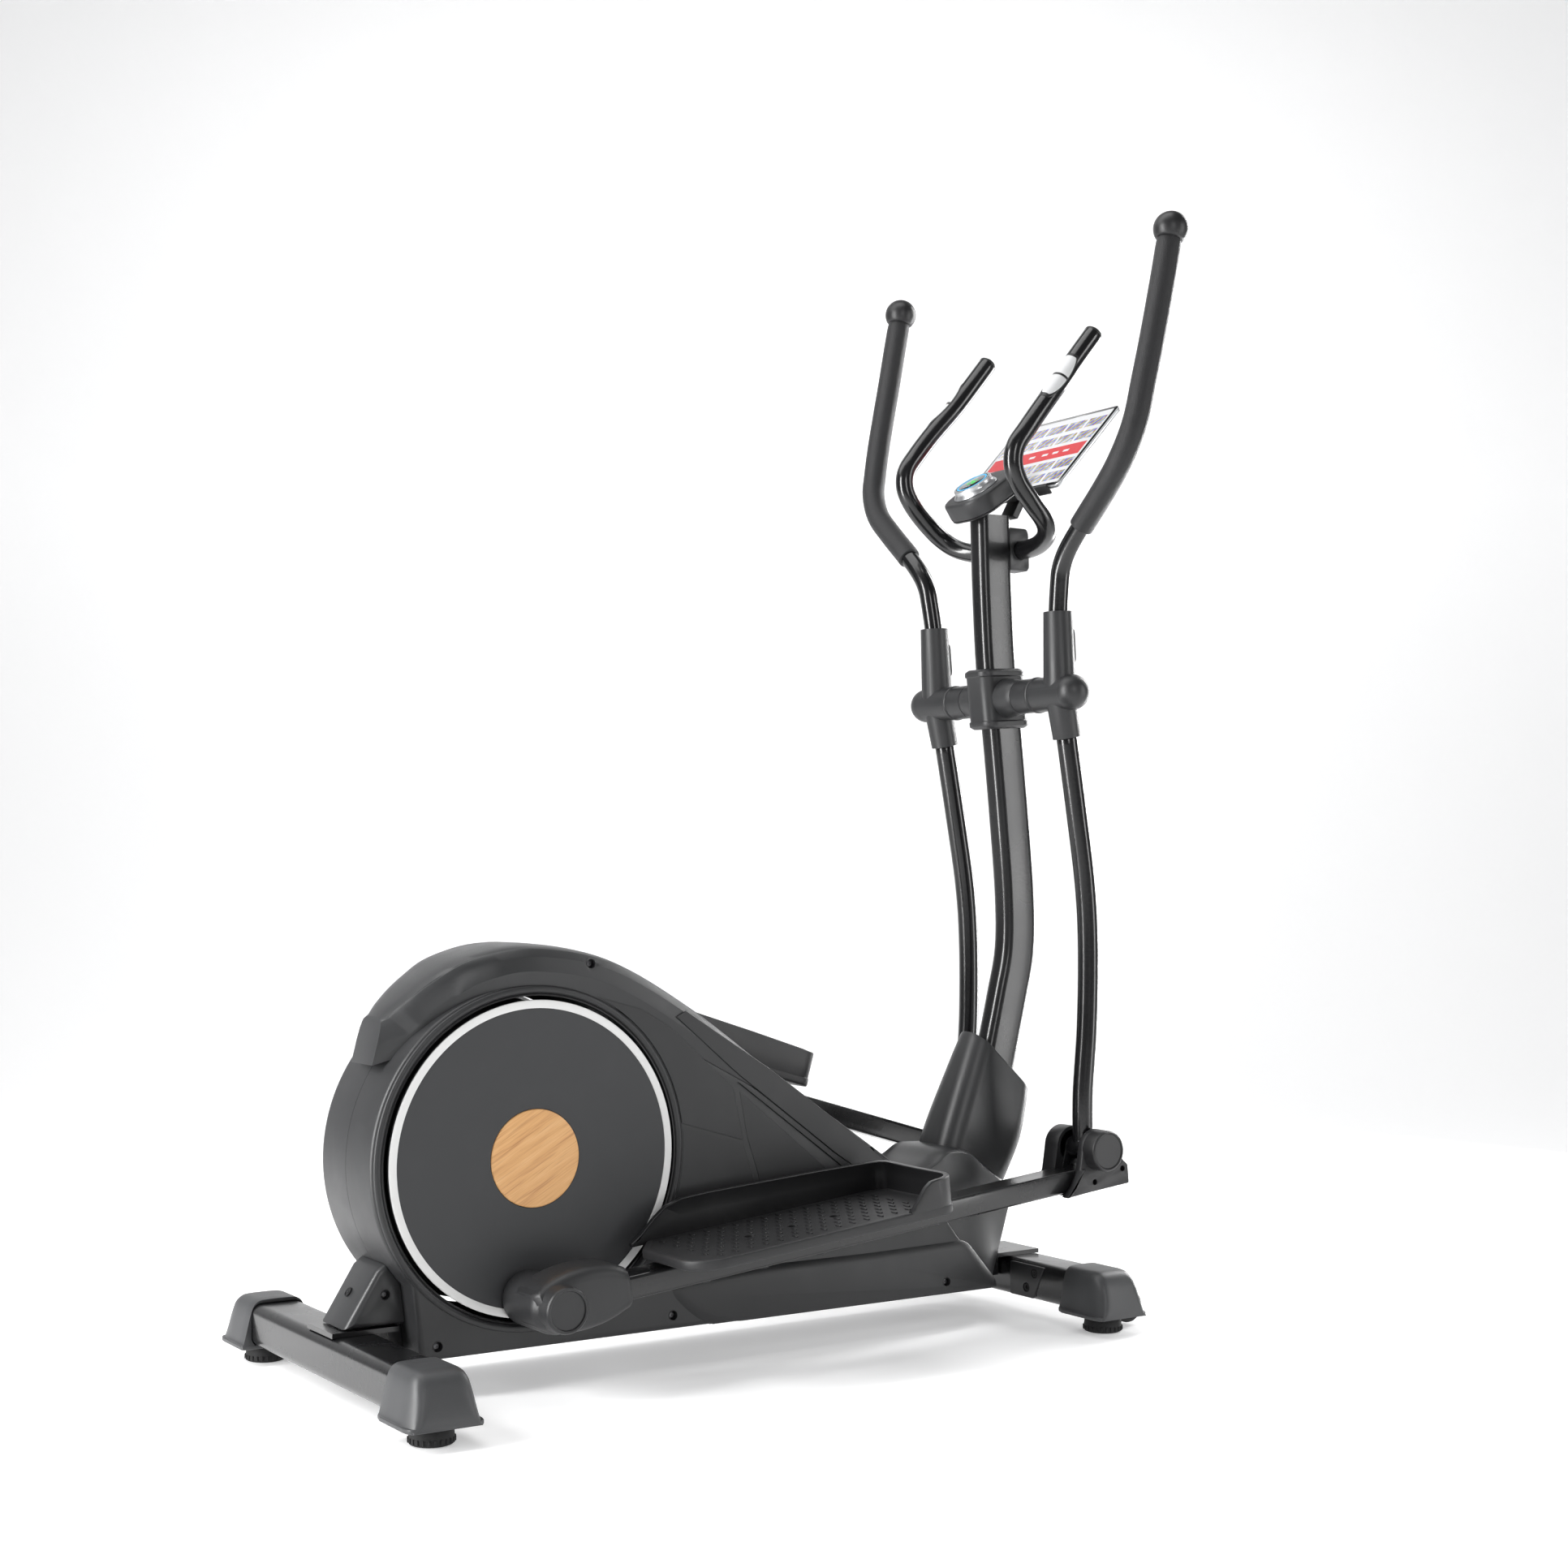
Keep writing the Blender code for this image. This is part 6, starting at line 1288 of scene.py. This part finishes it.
def build_boss(side, sign, pin, place, body):
    """Turned sleeve round the crank pin, raised-rim cap, and the flared shroud onto the bar."""
    cap = [(0, 0.0890), (0.0318, 0.0890), (0.0336, 0.0900), (0.0340, 0.0920), (0.0342, 0.1050),
           (0.0340, 0.1620),
           (0.0330, 0.1710), (0.0300, 0.1750), (0.0290, 0.1790), (0.0286, 0.1960), (0.0280, 0.1985),
           (0.0268, 0.1998),
           (0.0252, 0.2000), (0.0240, 0.1994), (0.0234, 0.1980), (0.0230, 0.1975), (0, 0.1975)]
    turned = lathe([(r, sign * y) for r, y in cap], 72)
    turned.transform(Matrix.Translation(pin))
    make(f"{side}_boss_sleeve", turned, "charcoal", body, f"{side}_crank_boss", place=place, sharp=34)
    upper = [(-0.030, 0.0200), (-0.012, 0.0318), (0.010, 0.0385), (0.035, 0.0412), (0.060, 0.0400),
             (0.082, 0.0358),
             (0.0970, 0.0290)]
    lower = [(-0.030, -0.0180), (-0.012, -0.0310), (0.010, -0.0350), (0.035, -0.0365), (0.060, -0.0345),
             (0.082, -0.0295), (0.1000, -0.0230)]
    tops, lows = smooth(upper, 4), smooth(lower, 4)
    rings = []
    for i, (high, low) in enumerate(zip(tops, lows)):
        share = i / (len(tops) - 1)
        near, far = 0.1125, 0.1835 - 0.006 * share
        if i == 0:
            near, far = 0.120, 0.172
        middle, tall, wide = (high.y + low.y) / 2, high.y - low.y, far - near
        x = (high.x + low.x) / 2
        corner = min(0.017, tall * 0.30)
        rings.append([Vector((pin.x + x + (v / tall) * (high.x - low.x), sign * ((near + far) / 2 + u),
                              pin.z + middle + v)) for u, v in rounded_rectangle(wide, tall, corner, 8)])
    end = rings[-1]
    centre = sum((p for p in end), Vector()) / len(end)
    rings.append([centre + (p - centre) * 0.955 + Vector((0.0022, 0, 0)) for p in end])
    rings.append([centre + (p - centre) * 0.86 + Vector((0.0018, 0, 0)) for p in end])
    make(f"{side}_boss_shroud", skin_rings(rings), "charcoal", body, place=place, sharp=38)
    # The mouth is near-black: painted shade in the gap where the bar enters the shroud.
    mouth = rounded_rectangle(2 * BAR_HALF_WIDTH + 0.0026, 2 * BAR_HALF_HEIGHT + 0.0026, 0.0055, 6)
    lip = sweep([Vector((pin.x + x, sign * ARM_Y, pin.z)) for x in (0.094, 0.1022)], mouth, (0, 1, 0))
    make(f"{side}_boss_mouth", lip, "hollow", body, place=place, bevel=0.0005, steps=1)


def build_pivot_cover(side, sign, place, body):
    """Moulded cheeks each side of the lower pivot, with a round cap and a slanting edge in lighter plastic as
    a painted highlight.
    """
    floor = -BAR_DROP - BAR_HALF_HEIGHT - GAP
    outline = rounded([(-0.066, floor - 0.003), (-0.050, -0.045), (-0.038, -0.030)]
                      + arc((0, 0), 0.0290, 172, 4, 20)
                      + [(0.045, -0.022), (0.053, -0.030), (0.0525, floor - 0.003)], 0.0025, 3)
    inner_y, outer_y = ARM_Y - BAR_HALF_WIDTH - GAP, ARM_Y + BAR_HALF_WIDTH + GAP
    holes = [rod((x, sign * 0.150, z), (x, sign * 0.20, z), 0.0042, 28)
             for x, z in ((-0.012, -0.0440), (0.0415, -0.0340))]
    holes += [rod((x, sign * 0.085, z), (x, sign * 0.115, z), 0.0042, 28) for x, z in ((-0.012, -0.0440),
                                                                                  (0.0415, -0.0340))]
    levels = [(outer_y, 0.0), (outer_y + 0.0088, 0.0), (outer_y + 0.0106, 0.0008), (outer_y + 0.0112, 0.0022)]
    make(f"{side}_outer_cheek", prism(outline, levels, sign), "black", body, f"{side}_pivot_cover",
         place=place,
         cuts=holes[:2], bevel=0.0004, steps=2, sharp=32)
    make(f"{side}_inner_cheek", prism(outline,
                                      [(0.0920, 0.0030), (0.0930, 0.0010), (0.0948, 0), (inner_y, 0)], sign),
         "black", body, place=place, cuts=holes[2:], bevel=0.0004, steps=2, sharp=32)
    make(f"{side}_cheek_floor", box((-0.058, 0.0520), sorted((sign * 0.100, sign * 0.175)),
                                    (floor - 0.003, floor)),
         "black", body, place=place, bevel=0.0008, steps=2)
    # The slanting edge is charcoal, lighter than the black cheeks: a painted highlight.
    rib = rounded([(-0.0665, floor - 0.003), (-0.0505, -0.0450), (-0.0345, -0.0215), (-0.0290, -0.0225),
                   (-0.0450, -0.0460), (-0.0590, floor - 0.003)], 0.002, 3)
    make(f"{side}_cheek_edge", prism(rib, [(outer_y + 0.004, 0), (outer_y + 0.0128, 0),
                                           (outer_y + 0.0142, 0.0014)],
                                     sign), "charcoal", body, place=place, bevel=0.0005, steps=2)
    cap = [(0, outer_y), (0.0285, outer_y), (0.0288, 0.1800), (0.0286, 0.1970), (0.0280, 0.1986),
           (0.0266, 0.1998),
           (0.0252, 0.2000), (0.0243, 0.1994), (0.0238, 0.1984), (0.0200, 0.1984), (0, 0.1988)]
    make(f"{side}_pivot_cap", lathe([(r, sign * y) for r, y in cap], 72), "black", body, place=place,
         sharp=32)
    inner_cap = [(0, inner_y), (0.0240, inner_y), (0.0242, 0.0905), (0.0232, 0.0890), (0.0200, 0.0885),
                 (0, 0.0885)]
    make(f"{side}_inner_pivot_cap", lathe([(r, sign * y) for r, y in inner_cap], 64), "black", body,
         place=place,
         sharp=32)


def build_tray(side, sign, place, body):
    """Tray with a raised border, staggered dashes, three bolt wells, tall inner wall and toe stop."""
    top = -BAR_DROP + BAR_HALF_HEIGHT + 0.025
    rear, front, inner, outer = -0.732, -0.326, 0.104, 0.280
    outline = ([(rear + 0.030, inner), (front - 0.020, inner)]
               + arc((front - 0.020, inner + 0.020), 0.020, -90, 0, 10)[1:]
               + arc((front - 0.034, outer - 0.034), 0.034, 0, 90, 14)
               + arc((rear + 0.045, outer - 0.045), 0.045, 90, 180, 14)
               + [(rear, inner + 0.040)])
    if sign < 0:
        outline = [(x, -y) for x, y in reversed(outline)]
    levels = [(top - 0.0130, 0.0014), (top - 0.0120, 0.0004), (top - 0.0100, 0), (top - 0.0030, 0),
              (top - 0.0012, 0.0007), (top - 0.0002, 0.0022), (top, 0.0045), (top - 0.0003, 0.0066),
              (top - 0.0018, 0.0086), (top - 0.0022, 0.0100)]
    mesh = slab(outline, levels)
    spots = [rear + 0.128 + 0.066 * i for i in range(3)]
    wells = [rod((x, sign * 0.196, top - 0.008), (x, sign * 0.196, top + 0.004), 0.0072, 32) for x in spots]
    make(f"{side}_tray_plate", mesh, "tread", body, f"{side}_foot_tray", place=place, cuts=wells, sharp=50)
    heads = [(x, sign * 0.196, top - 0.0066) for x in spots]
    repeat(f"{side}_tray_bolts", ROUND_HEADS, heads, "screw", body, {"Radius": 0.0058, "Depth": 0.0022},
           place=place)
    under = [(x, sign * ARM_Y, -BAR_DROP - BAR_HALF_HEIGHT - 0.0022)
             for x in (rear + 0.085, rear + 0.175, rear + 0.265)]
    repeat(f"{side}_bar_underbolts", ROUND_HEADS, under, "black", body, {"Radius": 0.0085, "Depth": 0.0052},
           place=place, bevel=0.0012)
    dashes = []
    for column in range(15):
        for row in range(9):
            x = rear + 0.040 + column * 0.0222 + (0.0111 if row % 2 else 0.0)
            y = inner + 0.022 + row * 0.0175
            near_bolt = any(abs(x - spot) < 0.013 and abs(y - 0.196) < 0.012 for spot in spots)
            if x < front - 0.030 and y < outer - 0.014 and not near_bolt \
                    and not (x < rear + 0.05 and y > outer - 0.045) and not (x > front - 0.05 and y > outer
                                                                             - 0.035):
                dashes.append((x, sign * y, top - 0.0018))
    repeat(f"{side}_tread_dashes", BLOCKS, dashes, "black", body,
           {"Length": 0.0034, "Width": 0.0115, "Height": 0.0026}, place=place, bevel=0.0009)
    path = ([(rear + 0.004, inner + 0.002, 0.001), (rear + 0.018, inner + 0.002, 0.009),
             (rear + 0.040, inner + 0.002, 0.027), (rear + 0.058, inner + 0.002, 0.0385),
             (rear + 0.082, inner + 0.002, 0.0445), (rear + 0.120, inner + 0.002, 0.0452),
             (front - 0.120, inner + 0.002, 0.0410), (front - 0.030, inner + 0.002, 0.0375)]
            + [(x, y, 0.0365) for x, y in arc((front - 0.022, inner + 0.022), 0.020, -90, 0, 10)[1:]]
            + [(front - 0.002, (inner + outer) / 2, 0.0352)]
            + [(x, y, 0.0352) for x, y in arc((front - 0.036, outer - 0.036), 0.034, 0, 90, 12)]
            + [(front - 0.046, outer - 0.002, 0.0340), (front - 0.056, outer - 0.002, 0.0280),
               (front - 0.066, outer - 0.002, 0.0170), (front - 0.076, outer - 0.002, 0.0060),
               (front - 0.082, outer - 0.002, 0.0010)])
    spine = [Vector((x, sign * y, 0)) for x, y, height in path]
    rings = []
    for i, (point, (x, y, height)) in enumerate(zip(spine, path)):
        ahead = (spine[min(i + 1, len(spine) - 1)] - spine[max(i - 1, 0)]).normalized()
        across = Vector((-ahead.y, ahead.x, 0)) * sign
        rim = [(-0.0016, -0.004), (0.0052, -0.004), (0.0046, height * 0.5), (0.0050, height - 0.0030),
               (0.0062, height - 0.0012), (0.0058, height), (-0.0006, height + 0.0002),
               (-0.0016, height - 0.0012),
               (-0.0018, height * 0.4)]
        rings.append([point + across * out + Vector((0, 0, top + max(up, -0.004))) for out, up in rim])
    make(f"{side}_tray_wall", skin_rings(rings), "black", body, place=place, bevel=0.0005, steps=2,
         angle=35, sharp=34)
    posts = [rod((x, sign * ARM_Y, -BAR_DROP + BAR_HALF_HEIGHT), (x, sign * ARM_Y, top - 0.004), 0.010, 32)
             for x in (rear + 0.072, (rear + front) / 2, front - 0.072)]
    for i, post in enumerate(posts):
        make(f"{side}_tray_post_{i + 1}", post, "black", body, place=place, bevel=0.0006, steps=2)


# ---------------------------------------------------------------- what shows of the drive
def finish_inner_parts():
    """Give every CAD node that stays its own worked finish."""
    kinds = {"main_frame": "bar_paint", "crossbar_axle": "steel", "drive_belt": "rubber",
             "crank_axle": "steel",
             "drive_pulley": "black", "flywheel": "iron", "flywheel_shaft": "steel",
             "magnet_bracket": "steel"}
    for name, item in frame["nodes"].items():
        if not item.hide_render:
            material = FINISHES[kinds.get(name, "charcoal")][0]
            item.data.materials.clear()
            item.data.materials.append(material)


# ---------------------------------------------------------------- studio
def build_studio():
    """Pale floor running up into a backdrop, soft lights, and the camera."""
    floor = Finish("studio_paper", IOR=1.4)
    fleck = floor.noise(3.0, 2.0)
    paper = floor.set_inputs(Base_Color=floor.mix(fleck * 0.2, (0.90, 0.90, 0.90), (0.88, 0.88, 0.885)),
                       Roughness=0.9 + fleck * 0.02,
                       Emission_Color=(0.96, 0.96, 0.965, 1.0), Emission_Strength=FLOOR_GLOW)
    turn = math.radians(33.5)
    ahead, across = Vector((math.sin(turn), math.cos(turn), 0)), Vector((math.cos(turn), -math.sin(turn), 0))
    line = [(-6.0, 0.0), (3.0, 0.0)] + [(3.0 + 2.0 * math.sin(a), 2.0 - 2.0 * math.cos(a))
                                        for a in np.linspace(0.12, math.pi / 2, 14)] + [(5.0, 7.0)]
    mesh = bmesh.new()
    columns = [[mesh.verts.new(ahead * depth + across * width + Vector((0, 0, height - 0.0004)))
                for depth, height in line]
               for width in (-9.0, 9.0)]
    for i in range(len(line) - 1):
        mesh.faces.new((columns[0][i], columns[0][i + 1], columns[1][i + 1], columns[1][i]))
    bmesh.ops.recalc_face_normals(mesh, faces=mesh.faces)
    if sum((face.normal.z for face in mesh.faces)) < 0:
        bmesh.ops.reverse_faces(mesh, faces=mesh.faces)
    paper_sheet = loose_object("studio_sweep", mesh)
    paper_sheet.data.shade_smooth()
    paper_sheet.data.materials.append(paper)

    middle = Vector((0.05, 0.0, 0.60))
    for name, place, size, power in (
            ("overhead_softbox", (-0.5, 0.5, 3.2), (1.5, 3.2), 42),
            ("tall_left_strip", (-2.7, 0.2, 1.2), (0.50, 2.8), 130),
            ("tall_right_strip", (2.3, -2.5, 1.2), (0.70, 2.6), 34),
            ("rear_right_strip", (2.4, 0.4, 1.2), (0.30, 2.8), 55),
            ("camera_side_strip", (-1.0, -3.4, 1.9), (0.50, 2.0), 26),
            ("backdrop_wash", (1.6, 2.6, 3.6), (4.0, 1.2), 25)):
        lamp = bpy.data.lights.new(name, "AREA")
        lamp.shape = "RECTANGLE"
        lamp.size, lamp.size_y = size
        lamp.energy = power
        spot = bpy.data.objects.new(name, lamp)
        bpy.context.collection.objects.link(spot)
        spot.location = place
        aim = middle if name != "backdrop_wash" else Vector((2.6, 4.2, 0.4))
        spot.rotation_euler = (aim - Vector(place)).to_track_quat("-Z", "Y").to_euler()
    world = bpy.data.worlds.new("studio_air")
    bpy.context.scene.world = world
    world.use_nodes = True
    world.node_tree.nodes["Background"].inputs["Color"].default_value = (0.93, 0.94, 0.96, 1.0)
    world.node_tree.nodes["Background"].inputs["Strength"].default_value = 0.16
    bpy.context.scene.view_settings.view_transform = "Standard"
    bpy.context.scene.view_settings.exposure = 0.0

    lens = bpy.data.cameras.new("view")
    lens.lens, lens.sensor_width, lens.sensor_height, lens.sensor_fit = 51.79, 36.0, 36.0, "HORIZONTAL"
    camera = bpy.data.objects.new("view", lens)
    bpy.context.collection.objects.link(camera)
    camera.location = (-1.30642 + CRANK.x, -2.62008, 0.65286)
    camera.rotation_euler = (math.radians(92.022), 0, math.radians(-33.493))
    bpy.context.scene.camera = camera


FLOOR_GLOW = 0.33
build_housing()
build_saddle()
build_neck_cover()
build_boots()
build_mast()
build_collar()
build_fixed_handlebar()
build_console()
build_tablet()
build_base()
build_crank()
for arm_side, arm_sign in SIDES.items():
    build_arm(arm_side, arm_sign)
    build_bar(arm_side, arm_sign)
finish_inner_parts()
build_studio()
